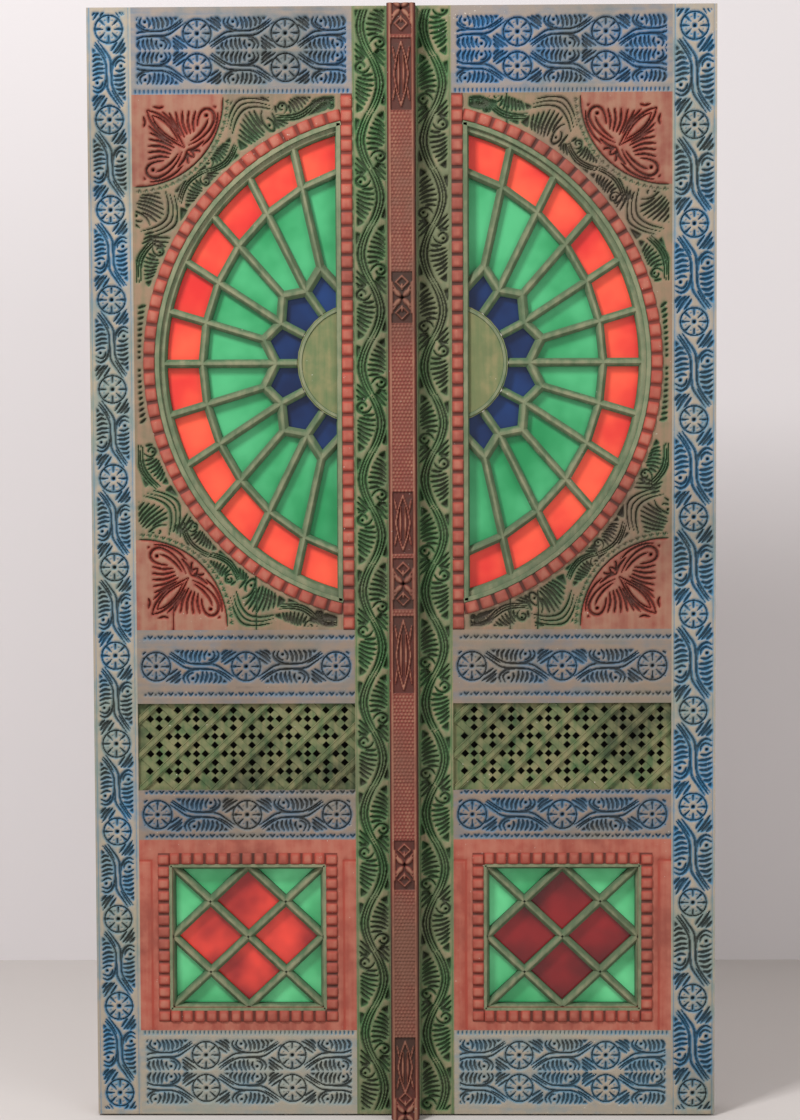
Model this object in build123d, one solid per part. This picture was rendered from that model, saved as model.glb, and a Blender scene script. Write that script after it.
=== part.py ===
"""A pair of carved and painted timber door leaves with a cover post, hung in a slim hidden frame.

Each leaf is a framed door: two full-height stiles, four tenoned rails and three infills. The large infill
holds half of a round fan window, so the two leaves make one whole wheel of coloured glass when they are
shut. Below it are a pierced lattice and a small square window.

Millimetres. X runs to the right, the carved face looks to -Y and Z is up. The origin is the middle of the
bottom of the whole. U below is the distance from the door's centre line, so a leaf is drawn once on the
right and mirrored for the left.
"""

import os
from math import cos, hypot, pi, radians, sin, sqrt

from build123d import *

# Widths across a leaf, from the centre line outwards
MEETING_GAP = 3
MEETING_STILE_WIDTH = 96
PANEL_WIDTH = 433
OUTER_STILE_WIDTH = 87

# Heights up a leaf, from the floor
FLOOR_GAP = 4
BOTTOM_RAIL_HEIGHT = 170
WINDOW_PANEL_HEIGHT = 385
WAIST_RAIL_HEIGHT = 99
LATTICE_HEIGHT = 174
FRIEZE_RAIL_HEIGHT = 147
FAN_PANEL_HEIGHT = 1055
TOP_RAIL_HEIGHT = 170

# Depths
LEAF_THICKNESS = 45
PANEL_THICKNESS = 38
TENON_THICKNESS = 14
TENON_LENGTH = 40
TENON_SHOULDER = 18
TENON_CLEARANCE = 0.5

# Cover post, fixed to the left leaf
POST_WIDTH = 56
POST_PROUD = 48
POST_RELIEF = 1
POST_CHAMFER = 4

# Carving
CARVE_DEPTH = 5
FIELD_MARGIN = 12
FRIEZE_MARGIN = 34
ROSETTE_RADIUS = 28.5
ROSETTE_NOTCH_RADIUS = 21
ROSETTE_PETALS = 8
LEFT_STILE_ROSETTES = 13
RIGHT_STILE_ROSETTES = 12
ROSETTE_END = 42
ROW_ROSETTE_PITCH = 179
RAIL_ROSETTE_PITCH = 173
RAIL_ROW_PITCH = 67
VINE_PERIOD = 222
VINE_SWING = 22
VINE_WIDTH = 9
VINE_STEPS = 4
VINE_LEAF_TURN = 20
CORNER_RADIUS = 172
LONG_LEAF = 138
SHORT_LEAF = 69
CORNER_LEAF_WIDTH = 34

# Fan window
FAN_OPENING_RADIUS = 480
FAN_ARCH_GAP = 10
FAN_SPOKES = 11
FAN_FIRST_TURN = 14
FAN_RING_WIDTH = 14
RIM_CUTS = 2
FAN_BAR_WIDTH = 17
FAN_MIDDLE_RADIUS = 396
FAN_EDGE_BAR = 12
HUB_RADIUS = 117
HUB_SIDES = 32
HUB_SETBACK = 28.5
ZIGZAG_SPREAD = 0.6
ZIGZAG_EDGE_HEIGHT = 142
ZIGZAG_OUTER_FIRST = 192
ZIGZAG_OUTER_LAST = 161
ZIGZAG_INNER_FIRST = 158
ZIGZAG_INNER_LAST = 131

# Square window
WINDOW_WIDTH = 302
WINDOW_HEIGHT = 284
WINDOW_TOP_MARGIN = 55
WINDOW_RING_WIDTH = 5
WINDOW_BAR_WIDTH = 16
WINDOW_MOULDING_GAP = 6

# Glazing, shared by both windows
REBATE = 8
LIP = 6
TRACERY_THICKNESS = 20
GLASS_THICKNESS = 4
BEAD_WIDTH = 14
SEAT_CLEARANCE = 0.3
PANE_GAP = 1

# Toothed mouldings
MOULDING_WIDTH = 22
MOULDING_PROUD = 6
TOOTH_DEPTH = 4
CUT_SPARE = 2
ARCH_TOOTH_PITCH = 32

# Lattice
LATTICE_SETBACK = 4
LATTICE_BACK_SETBACK = 26
LATTICE_BACK_THICKNESS = 6
LATH_PITCH_U = 36.8
LATH_PITCH_Z = 35
LATH_WIDTH = 16
LATH_THICKNESS = 8

# Frame behind the leaves
FRAME_DEPTH = 60
FRAME_GAP = 3
JAMB_WIDTH = 60
HEAD_HEIGHT = 70
HEAD_SETBACK = 20
SILL_HEIGHT = 30
FIXING_RADIUS = 4
FIXING_SPACING = 800

# Hinges
HINGE_INSET = 12
HINGE_OFFSET = 8
JAMB_TO_AXIS = 8
KNUCKLE_RADIUS = 7
KNUCKLE_SIDES = 6
PIN_RADIUS = 3.5
PIN_CLEARANCE = 0.06
KNUCKLE_LENGTH = 45
KNUCKLE_GAP = 0.5
PLATE_THICKNESS = 2.5
PLATE_WIDTH = 36
HINGE_HEIGHTS = (300, 1900)

# Depth planes, the carved face towards -Y
TOTAL_DEPTH = POST_PROUD + LEAF_THICKNESS + FRAME_GAP + FRAME_DEPTH
POST_FRONT = -TOTAL_DEPTH / 2
LEAF_FRONT = POST_FRONT + POST_PROUD
LEAF_BACK = LEAF_FRONT + LEAF_THICKNESS
PANEL_BACK = LEAF_FRONT + PANEL_THICKNESS
TRACERY_FRONT = LEAF_FRONT + LIP
GLASS_FRONT = TRACERY_FRONT + TRACERY_THICKNESS
BEAD_FRONT = GLASS_FRONT + GLASS_THICKNESS
FRAME_FRONT = LEAF_BACK + FRAME_GAP
FRAME_BACK = FRAME_FRONT + FRAME_DEPTH
FIELD_FLOOR = LEAF_FRONT + CARVE_DEPTH

# Distances from the centre line
MEETING_EDGE = MEETING_GAP / 2
PANEL_INNER = MEETING_EDGE + MEETING_STILE_WIDTH
PANEL_OUTER = PANEL_INNER + PANEL_WIDTH
PANEL_MIDDLE = (PANEL_INNER + PANEL_OUTER) / 2
LEAF_OUTER = PANEL_OUTER + OUTER_STILE_WIDTH
HINGE_AXIS_U = LEAF_OUTER - HINGE_INSET
JAMB_OUTER = HINGE_AXIS_U - JAMB_TO_AXIS
JAMB_INNER = JAMB_OUTER - JAMB_WIDTH

# Heights of the rail and panel edges
BOTTOM_RAIL_TOP = FLOOR_GAP + BOTTOM_RAIL_HEIGHT
WINDOW_PANEL_TOP = BOTTOM_RAIL_TOP + WINDOW_PANEL_HEIGHT
WAIST_RAIL_TOP = WINDOW_PANEL_TOP + WAIST_RAIL_HEIGHT
LATTICE_TOP = WAIST_RAIL_TOP + LATTICE_HEIGHT
FRIEZE_RAIL_TOP = LATTICE_TOP + FRIEZE_RAIL_HEIGHT
FAN_PANEL_TOP = FRIEZE_RAIL_TOP + FAN_PANEL_HEIGHT
LEAF_TOP = FAN_PANEL_TOP + TOP_RAIL_HEIGHT
FAN_CENTRE_Z = (FRIEZE_RAIL_TOP + FAN_PANEL_TOP) / 2
WINDOW_CENTRE_Z = WINDOW_PANEL_TOP - WINDOW_TOP_MARGIN - WINDOW_HEIGHT / 2


# Shapes that repeat
def rectangle(u_low, u_high, z_low, z_high):
    """A flat rectangle between two distances from the centre line and two heights."""
    centre = Pos((u_low + u_high) / 2, (z_low + z_high) / 2)
    return centre * Rectangle(u_high - u_low, z_high - z_low)


def polygon(points):
    """A flat outline through points of U and Z."""
    return make_face(Polyline(*points, close=True))


def slab(outline, y_front, y_back):
    """An outline in U and Z, made solid between two depths."""
    return extrude(Plane.XZ.offset(-y_back) * outline, amount=y_back - y_front)


def board(u_low, u_high, z_low, z_high, y_front=LEAF_FRONT, y_back=LEAF_BACK):
    """A plain board."""
    return slab(rectangle(u_low, u_high, z_low, z_high), y_front, y_back)


def peaked(points, peak):
    """A carved form: an outline on the floor of the sunk field, rising to one peak at the face."""
    outline = Plane.XZ.offset(-FIELD_FLOOR) * polygon(points)
    return loft([outline.face(), Vertex(peak[0], LEAF_FRONT, peak[1])], ruled=True)


def rosette(u, z):
    """An eight-petalled flower in low relief."""
    points = []
    for corner in range(2 * ROSETTE_PETALS):
        reach = ROSETTE_NOTCH_RADIUS if corner % 2 else ROSETTE_RADIUS
        turn = pi * (corner + 0.5) / ROSETTE_PETALS
        points.append((u + reach * sin(turn), z + reach * cos(turn)))
    return peaked(points, (u, z))


def leaf_form(u, z, length, width, turn):
    """A pointed leaf in low relief, its tip turned from straight up towards +U by turn degrees."""
    along = (sin(radians(turn)), cos(radians(turn)))
    across = (along[1], -along[0])
    spots = ((-0.5, 0), (-0.1, 0.5), (0.5, 0), (-0.1, -0.5))
    points = [
        tuple(at + a * length * on + b * width * to for at, on, to in zip((u, z), along, across))
        for a, b in spots
    ]
    return peaked(points, (u - 0.1 * length * along[0], z - 0.1 * length * along[1]))


def carved(solid, fields, forms):
    """A board with its fields sunk by the carving's depth and its forms left standing in them."""
    for field in fields:
        solid -= slab(field, LEAF_FRONT, FIELD_FLOOR)
    return solid + forms


def field_between(u_low, u_high, z_low, z_high, margin=FIELD_MARGIN):
    """The sunk field inside a board's plain margin."""
    return rectangle(u_low + margin, u_high - margin, z_low + margin, z_high - margin)


# Joinery
TENON_FRONT = LEAF_FRONT + (LEAF_THICKNESS - TENON_THICKNESS) / 2
TENONED_RAILS = (
    (FLOOR_GAP, BOTTOM_RAIL_TOP),
    (WINDOW_PANEL_TOP, WAIST_RAIL_TOP),
    (LATTICE_TOP, FRIEZE_RAIL_TOP),
    (FAN_PANEL_TOP, LEAF_TOP),
)


def tenon_zone(z_low, z_high, reach):
    """The bar through a rail's height that holds both its tenons, each of a given reach."""
    return board(
        PANEL_INNER - reach,
        PANEL_OUTER + reach,
        z_low + TENON_SHOULDER,
        z_high - TENON_SHOULDER,
        TENON_FRONT,
        TENON_FRONT + TENON_THICKNESS,
    )


def mortised(stile):
    """A stile with a blind mortise for each rail, a little deeper than the tenon is long."""
    for z_low, z_high in TENONED_RAILS:
        stile -= tenon_zone(z_low, z_high, TENON_LENGTH + TENON_CLEARANCE)
    return stile


def rail(z_low, z_high, fields, forms):
    """A carved rail with a tenon at each end."""
    plain = board(PANEL_INNER, PANEL_OUTER, z_low, z_high) + tenon_zone(z_low, z_high, TENON_LENGTH)
    return carved(plain, fields, forms)


# Stiles
def outer_stile(rosettes):
    """The outer stile: evenly spaced rosettes down a sunk field."""
    middle = (PANEL_OUTER + LEAF_OUTER) / 2
    pitch = (LEAF_TOP - FLOOR_GAP - 2 * ROSETTE_END) / (rosettes - 1)
    forms = []
    for number in range(rosettes):
        z = FLOOR_GAP + ROSETTE_END + number * pitch
        forms.append(rosette(middle, z))
    stile = mortised(board(PANEL_OUTER, LEAF_OUTER, FLOOR_GAP, LEAF_TOP))
    return carved(stile, [field_between(PANEL_OUTER, LEAF_OUTER, FLOOR_GAP, LEAF_TOP)], forms)


def meeting_stile():
    """The meeting stile: a vine that swings from side to side up a sunk field."""
    low, high = FLOOR_GAP + FIELD_MARGIN, LEAF_TOP - FIELD_MARGIN
    middle = (PANEL_INNER + POST_WIDTH / 2) / 2
    steps = round((high - low) / VINE_PERIOD * VINE_STEPS)
    run = (high - low) / steps

    def vine_edge(offset):
        return [
            (middle + offset + VINE_SWING * sin(2 * pi * (step + 0.5) / VINE_STEPS), low + step * run)
            for step in range(steps + 1)
        ]

    outline = vine_edge(-VINE_WIDTH / 2) + list(reversed(vine_edge(VINE_WIDTH / 2)))
    stile = mortised(board(MEETING_EDGE, PANEL_INNER, FLOOR_GAP, LEAF_TOP))
    edge = POST_WIDTH / 2 + FIELD_MARGIN / 2
    field = rectangle(edge, PANEL_INNER - FIELD_MARGIN / 2, low, high)
    forms = [slab(polygon(outline), LEAF_FRONT, FIELD_FLOOR)]
    for bend in range(int((high - low) / VINE_PERIOD)):
        z = low + (bend + 0.25) * run * VINE_STEPS
        forms.append(leaf_form(middle - VINE_SWING / 2, z, VINE_PERIOD / 4, VINE_SWING, VINE_LEAF_TURN))
    return carved(stile, [field], forms)


# Rails
def two_row_rail(z_low, z_high):
    """The top or bottom rail: two rows of two rosettes."""
    middle_z = (z_low + z_high) / 2
    forms = []
    for way_u in (1, -1):
        for way_z in (1, -1):
            spot = (PANEL_MIDDLE + way_u * RAIL_ROSETTE_PITCH / 2, middle_z + way_z * RAIL_ROW_PITCH / 2)
            forms.append(rosette(*spot))
    return rail(z_low, z_high, [field_between(PANEL_INNER, PANEL_OUTER, z_low, z_high)], forms)


def one_row_rail(z_low, z_high, margin):
    """The frieze or waist rail: one row of three rosettes."""
    middle_z = (z_low + z_high) / 2
    forms = [rosette(PANEL_MIDDLE + place * ROW_ROSETTE_PITCH, middle_z) for place in (-1, 0, 1)]
    u_low, u_high = PANEL_INNER + FIELD_MARGIN, PANEL_OUTER - FIELD_MARGIN
    field = rectangle(u_low, u_high, z_low + margin, z_high - margin)
    return rail(z_low, z_high, [field], forms)


# Fan window
FAN_EDGE = PANEL_INNER + MOULDING_WIDTH
HUB_CENTRE_U = FAN_EDGE - HUB_SETBACK


def d_shape(radius, edge):
    """The part of the big circle that lies beyond a straight edge, its rim in short straight cuts."""
    end = sqrt(radius**2 - edge**2)
    rim = [ring_point(number / RIM_CUTS, radius) for number in range(1, RIM_CUTS * (FAN_SPOKES + 1))]
    return polygon(in_fan([(edge, end)] + rim + [(edge, -end)]))


def ring_point(number, radius):
    """Where a spoke's line meets a circle about the fan's centre, above or below the middle."""
    turn = radians(FAN_FIRST_TURN + number * (180 - 2 * FAN_FIRST_TURN) / (FAN_SPOKES + 1))
    if number in (0, FAN_SPOKES + 1):
        way = 1 if number == 0 else -1
        return (FAN_EDGE, way * sqrt(radius**2 - FAN_EDGE**2))
    aim = (FAN_OPENING_RADIUS * sin(turn) - FAN_EDGE, FAN_OPENING_RADIUS * cos(turn))
    length = hypot(*aim)
    step = (aim[0] / length, aim[1] / length)
    half = FAN_EDGE * step[0]
    reach = sqrt(half**2 + radius**2 - FAN_EDGE**2) - half
    return (FAN_EDGE + reach * step[0], reach * step[1])


def zigzag_point(number, shift=0):
    """A corner of the zigzag about the hub: odd numbers stand out, even ones stand in."""
    last = FAN_SPOKES + 1
    if number in (0, last):
        way = 1 if number == 0 else -1
        return (FAN_EDGE, way * (ZIGZAG_EDGE_HEIGHT + shift))
    rank = min(number, last - number)
    if rank % 2:
        share = (rank - 1) / 4
        reach = ZIGZAG_OUTER_FIRST + share * (ZIGZAG_OUTER_LAST - ZIGZAG_OUTER_FIRST)
    else:
        share = (rank - 2) / 4
        reach = ZIGZAG_INNER_FIRST + share * (ZIGZAG_INNER_LAST - ZIGZAG_INNER_FIRST)
    outer = ring_point(number, FAN_OPENING_RADIUS)
    aim = (outer[0] - FAN_EDGE, outer[1])
    length = hypot(*aim)
    return (FAN_EDGE + (reach + shift) * aim[0] / length, (reach + shift) * aim[1] / length)


def hub_point(number):
    """Where the line from the hub's centre to a zigzag corner leaves the hub."""
    corner = zigzag_point(number)
    if number in (0, FAN_SPOKES + 1):
        way = 1 if number == 0 else -1
        return (FAN_EDGE, way * sqrt(HUB_RADIUS**2 - HUB_SETBACK**2))
    aim = (corner[0] - HUB_CENTRE_U, corner[1])
    length = hypot(*aim)
    return (HUB_CENTRE_U + HUB_RADIUS * aim[0] / length, HUB_RADIUS * aim[1] / length)


def in_fan(points):
    """Points about the fan's centre, raised to its height."""
    return [(u, FAN_CENTRE_Z + z) for u, z in points]


def bar_outline(start, end, width):
    """The outline of a straight bar between two points."""
    length = hypot(end[0] - start[0], end[1] - start[1])
    side = ((end[1] - start[1]) / length * width / 2, (start[0] - end[0]) / length * width / 2)
    corners = [
        (start[0] + side[0], start[1] + side[1]),
        (end[0] + side[0], end[1] + side[1]),
        (end[0] - side[0], end[1] - side[1]),
        (start[0] - side[0], start[1] - side[1]),
    ]
    return polygon(corners)


FAN_NUMBERS = range(FAN_SPOKES + 2)
FAN_SPOKE_NUMBERS = range(1, FAN_SPOKES + 1)


def seat_outline(shrink=0):
    """The straight-sided outline that sits in the round rebate, for the tracery and the bead behind it."""
    radius = FAN_OPENING_RADIUS + REBATE - SEAT_CLEARANCE - shrink
    edge = FAN_EDGE - REBATE + SEAT_CLEARANCE + shrink
    end = sqrt(radius**2 - edge**2)
    rim = [ring_point(number, radius) for number in FAN_SPOKE_NUMBERS]
    return polygon(in_fan([(edge, end)] + rim + [(edge, -end)]))


def hub_outline(grow=0):
    """The many-sided outline of the boss at the middle of the wheel, beyond the seat's edge."""
    disc = Pos(HUB_CENTRE_U, FAN_CENTRE_Z) * RegularPolygon(HUB_RADIUS + grow, HUB_SIDES)
    seat = FAN_EDGE - REBATE + SEAT_CLEARANCE
    return disc & rectangle(seat, FAN_EDGE + FAN_OPENING_RADIUS, FRIEZE_RAIL_TOP, FAN_PANEL_TOP)


def fan_hub():
    """The solid boss at the middle of the wheel, cut off at the leaf's side of the centre."""
    return slab(hub_outline(), TRACERY_FRONT, GLASS_FRONT)


def fan_tracery():
    """The wheel's bars, in one pierced board: rim, spokes, middle ring, zigzag and hub links."""
    rim_radius = FAN_OPENING_RADIUS - FAN_RING_WIDTH
    whole = seat_outline()
    edge = FAN_EDGE + FAN_EDGE_BAR
    end = sqrt(rim_radius**2 - edge**2)
    rim_points = [ring_point(number, rim_radius) for number in FAN_SPOKE_NUMBERS]
    bars = whole - polygon(in_fan([(edge, end)] + rim_points + [(edge, -end)]))
    half = FAN_BAR_WIDTH / 2
    for number in FAN_SPOKE_NUMBERS:
        start = zigzag_point(number)
        end = ring_point(number, rim_radius + half / 2)
        bars += bar_outline(*in_fan([start, end]), FAN_BAR_WIDTH)
        if number % 2 == 0:
            bars += bar_outline(*in_fan([hub_point(number), start]), FAN_BAR_WIDTH)
    outer = [ring_point(number, FAN_MIDDLE_RADIUS + half) for number in FAN_NUMBERS]
    inner = [ring_point(number, FAN_MIDDLE_RADIUS - half) for number in FAN_NUMBERS]
    bars += polygon(in_fan(outer + list(reversed(inner))))
    reach = ZIGZAG_SPREAD * FAN_BAR_WIDTH
    outer = [zigzag_point(number, reach) for number in FAN_NUMBERS]
    inner = [zigzag_point(number, -reach) for number in FAN_NUMBERS]
    bars += polygon(in_fan(outer + list(reversed(inner))))
    bars -= hub_outline(SEAT_CLEARANCE)
    return slab(bars, TRACERY_FRONT, GLASS_FRONT)


def panes(cells, seat):
    """Panes of glass, one for each cell, kept a small gap apart and inside their seat."""
    solids = []
    for cell in cells:
        outline = offset(polygon(cell), amount=-PANE_GAP, kind=Kind.INTERSECTION)
        solids.append(slab(outline & seat, GLASS_FRONT, BEAD_FRONT))
    return solids


def fan_cells(inner, outer):
    """The cells between two rings of points, one between each pair of spokes."""
    return [
        in_fan([inner(number), inner(number + 1), outer(number + 1), outer(number)])
        for number in range(FAN_SPOKES + 1)
    ]


def fan_panes():
    """The red rim, green spoke and blue hub panes, by colour."""
    seat = d_shape(FAN_OPENING_RADIUS + REBATE - SEAT_CLEARANCE, FAN_EDGE)

    def middle(number):
        return ring_point(number, FAN_MIDDLE_RADIUS)

    def rim(number):
        return ring_point(number, FAN_OPENING_RADIUS)

    blue = []
    for number in range(0, FAN_SPOKES + 1, 2):
        corners = [zigzag_point(number + step) for step in range(3)]
        blue.append(in_fan(corners + [hub_point(number + 2), hub_point(number)]))
    return {
        "red": panes(fan_cells(middle, rim), seat),
        "green": panes(fan_cells(zigzag_point, middle), seat),
        "blue": panes(blue, seat),
    }


def bead(outer, inner):
    """A frame behind the glass that holds it in its rebate."""
    return slab(outer - inner, BEAD_FRONT, PANEL_BACK)


def corner_carving(way):
    """One outer corner of the fan panel: a sunk quarter circle with a long leaf and two scroll leaves."""
    edge = FAN_PANEL_TOP if way > 0 else FRIEZE_RAIL_TOP
    corner = (PANEL_OUTER - FIELD_MARGIN, edge - way * FIELD_MARGIN)

    def inwards(turn, reach):
        return corner[0] - reach * cos(radians(turn)), corner[1] - way * reach * sin(radians(turn))

    field = polygon([corner] + [inwards(turn, CORNER_RADIUS) for turn in range(0, 91, 30)])
    forms = []
    for turn, reach, length in ((45, 0.45, LONG_LEAF), (20, 0.75, SHORT_LEAF), (70, 0.75, SHORT_LEAF)):
        forms.append(leaf_form(*inwards(turn, reach * CORNER_RADIUS), length, CORNER_LEAF_WIDTH, way * turn))
    return field, forms


def fan_panel():
    """The board that carries the fan window, with carved outer corners."""
    panel = board(PANEL_INNER, PANEL_OUTER, FRIEZE_RAIL_TOP, FAN_PANEL_TOP, LEAF_FRONT, PANEL_BACK)
    panel -= slab(d_shape(FAN_OPENING_RADIUS, FAN_EDGE), LEAF_FRONT, PANEL_BACK)
    panel -= slab(d_shape(FAN_OPENING_RADIUS + REBATE, FAN_EDGE - REBATE), TRACERY_FRONT, PANEL_BACK)
    fields, forms = [], []
    for way in (1, -1):
        field, corner_forms = corner_carving(way)
        fields.append(field)
        forms += corner_forms
    return carved(panel, fields, forms)


def fan_arch_moulding():
    """The toothed arch about the fan window: straight teeth side by side, parted by valleys."""
    inner = FAN_OPENING_RADIUS + FAN_ARCH_GAP
    outer = inner + MOULDING_WIDTH
    span = 180 - 2 * FAN_FIRST_TURN
    teeth = round(radians(span) * (inner + outer) / 2 / ARCH_TOOTH_PITCH)
    turns = [radians(FAN_FIRST_TURN + tooth * span / teeth) for tooth in range(1, teeth)]

    def arch_edge(radius):
        end = sqrt(radius**2 - FAN_EDGE**2)
        round_points = [(radius * sin(turn), radius * cos(turn)) for turn in turns]
        return [(FAN_EDGE, end)] + round_points + [(FAN_EDGE, -end)]

    outline = polygon(in_fan(arch_edge(outer) + list(reversed(arch_edge(inner)))))
    arch = slab(outline, LEAF_FRONT - MOULDING_PROUD, LEAF_FRONT)
    half = span / teeth / 360 * pi * inner
    valley = polygon([(-half, 0), (half, 0), (0, TOOTH_DEPTH)])
    cuts = []
    for turn in turns:
        aim = Vector(sin(turn), 0, cos(turn))
        start = Vector(0, LEAF_FRONT - MOULDING_PROUD, FAN_CENTRE_Z) + aim * (inner - CUT_SPARE)
        across = Vector(cos(turn), 0, -sin(turn))
        place = Plane(start, x_dir=across, z_dir=aim)
        cuts.append(extrude(place * valley, amount=MOULDING_WIDTH + 2 * CUT_SPARE))
    return arch - cuts


def fan_side_moulding():
    """The upright strip beside the meeting stile."""
    front = LEAF_FRONT - MOULDING_PROUD
    return board(PANEL_INNER, FAN_EDGE, FRIEZE_RAIL_TOP, FAN_PANEL_TOP, front, LEAF_FRONT)


# Square window
WINDOW_LEFT = PANEL_MIDDLE - WINDOW_WIDTH / 2
WINDOW_RIGHT = PANEL_MIDDLE + WINDOW_WIDTH / 2
WINDOW_LOW = WINDOW_CENTRE_Z - WINDOW_HEIGHT / 2
WINDOW_HIGH = WINDOW_CENTRE_Z + WINDOW_HEIGHT / 2


def window_outline(grow):
    """The square window's opening, grown or shrunk on every side."""
    return rectangle(WINDOW_LEFT - grow, WINDOW_RIGHT + grow, WINDOW_LOW - grow, WINDOW_HIGH + grow)


def window_frame():
    """The board about the square window, rebated behind for the glass."""
    frame = board(PANEL_INNER, PANEL_OUTER, BOTTOM_RAIL_TOP, WINDOW_PANEL_TOP, LEAF_FRONT, PANEL_BACK)
    frame -= slab(window_outline(0), LEAF_FRONT, PANEL_BACK)
    return frame - slab(window_outline(REBATE), TRACERY_FRONT, PANEL_BACK)


def halfway(a, b):
    """The point midway between two others."""
    return ((a[0] + b[0]) / 2, (a[1] + b[1]) / 2)


def window_corners():
    """The window's corners and the middles of its sides."""
    corners = [
        (WINDOW_LEFT, WINDOW_LOW),
        (WINDOW_RIGHT, WINDOW_LOW),
        (WINDOW_RIGHT, WINDOW_HIGH),
        (WINDOW_LEFT, WINDOW_HIGH),
    ]
    return corners, [halfway(corners[number], corners[(number + 1) % 4]) for number in range(4)]


def window_tracery():
    """Both diagonals and the diamond through the middles of the sides, in one pierced board."""
    corners, sides = window_corners()
    bars = window_outline(REBATE - SEAT_CLEARANCE) - window_outline(-WINDOW_RING_WIDTH)
    for number in range(2):
        bars += bar_outline(corners[number], corners[number + 2], WINDOW_BAR_WIDTH)
    for number in range(4):
        bars += bar_outline(sides[number], sides[(number + 1) % 4], WINDOW_BAR_WIDTH)
    return slab(bars & window_outline(REBATE - SEAT_CLEARANCE), TRACERY_FRONT, GLASS_FRONT)


def window_panes():
    """Four red diamonds about the centre and eight green triangles round them."""
    corners, sides = window_corners()
    centre = (PANEL_MIDDLE, WINDOW_CENTRE_Z)
    crossings = [halfway(corner, centre) for corner in corners]
    seat = window_outline(REBATE - SEAT_CLEARANCE)
    red, green = [], []
    for number in range(4):
        following = (number + 1) % 4
        red.append([centre, crossings[number], sides[number], crossings[following]])
        green.append([corners[number], sides[number], crossings[number]])
        green.append([sides[number], corners[following], crossings[following]])
    return {"red": panes(red, seat), "green": panes(green, seat)}


def window_moulding():
    """The raised frame about the square window."""
    outer = window_outline(WINDOW_MOULDING_GAP + MOULDING_WIDTH)
    return slab(outer - window_outline(WINDOW_MOULDING_GAP), LEAF_FRONT - MOULDING_PROUD, LEAF_FRONT)


# Lattice
def lattice(lean):
    """Slanting laths in two crossed layers, the front one leaning towards +U where lean is 1."""
    field = rectangle(PANEL_INNER, PANEL_OUTER, WAIST_RAIL_TOP, LATTICE_TOP)
    middle_z = (WAIST_RAIL_TOP + LATTICE_TOP) / 2
    rise = LATTICE_HEIGHT / 2 + LATH_WIDTH
    run = rise * LATH_PITCH_U / LATH_PITCH_Z
    last = int((PANEL_WIDTH + LATTICE_HEIGHT * LATH_PITCH_U / LATH_PITCH_Z) / 2 / LATH_PITCH_U)
    laths = []
    for layer, slope in enumerate((lean, -lean)):
        front = LEAF_FRONT + LATTICE_SETBACK + layer * LATH_THICKNESS
        for number in range(-last, last + 1):
            u = PANEL_MIDDLE + number * LATH_PITCH_U
            ends = ((u - slope * run, middle_z - rise), (u + slope * run, middle_z + rise))
            laths.append(slab(bar_outline(*ends, LATH_WIDTH) & field, front, front + LATH_THICKNESS))
    return laths


def lattice_back():
    """The plain board that closes the lattice from behind."""
    front = LEAF_FRONT + LATTICE_BACK_SETBACK
    return board(PANEL_INNER, PANEL_OUTER, WAIST_RAIL_TOP, LATTICE_TOP, front, front + LATTICE_BACK_THICKNESS)


# Cover post
def centre_post():
    """The square post that covers the joint, relieved behind where it laps the right leaf."""
    half = POST_WIDTH / 2
    outline = [
        (-half, LEAF_FRONT),
        (-half, POST_FRONT + POST_CHAMFER),
        (POST_CHAMFER - half, POST_FRONT),
        (half - POST_CHAMFER, POST_FRONT),
        (half, POST_FRONT + POST_CHAMFER),
        (half, LEAF_FRONT - POST_RELIEF),
        (-MEETING_EDGE, LEAF_FRONT - POST_RELIEF),
        (-MEETING_EDGE, LEAF_FRONT),
    ]
    return extrude(Plane.XY.offset(FLOOR_GAP) * polygon(outline), amount=LEAF_TOP - FLOOR_GAP)


# Frame
def jamb():
    """The right jamb, which stands beside the sill and under the head."""
    top = LEAF_TOP - HEAD_SETBACK - HEAD_HEIGHT
    return board(JAMB_INNER, JAMB_OUTER, 0, top, FRAME_FRONT, FRAME_BACK)


def head():
    """The head, which lies on both jambs and is bored for its two fixings into the lintel above."""
    top = LEAF_TOP - HEAD_SETBACK
    beam = board(-JAMB_OUTER, JAMB_OUTER, top - HEAD_HEIGHT, top, FRAME_FRONT, FRAME_BACK)
    for u in (-FIXING_SPACING / 2, FIXING_SPACING / 2):
        beam -= Pos(u, (FRAME_FRONT + FRAME_BACK) / 2, top) * Cylinder(FIXING_RADIUS, 3 * HEAD_HEIGHT)
    return beam


def sill():
    """The sill between the jambs."""
    return board(-JAMB_INNER, JAMB_INNER, 0, SILL_HEIGHT, FRAME_FRONT, FRAME_BACK)


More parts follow.
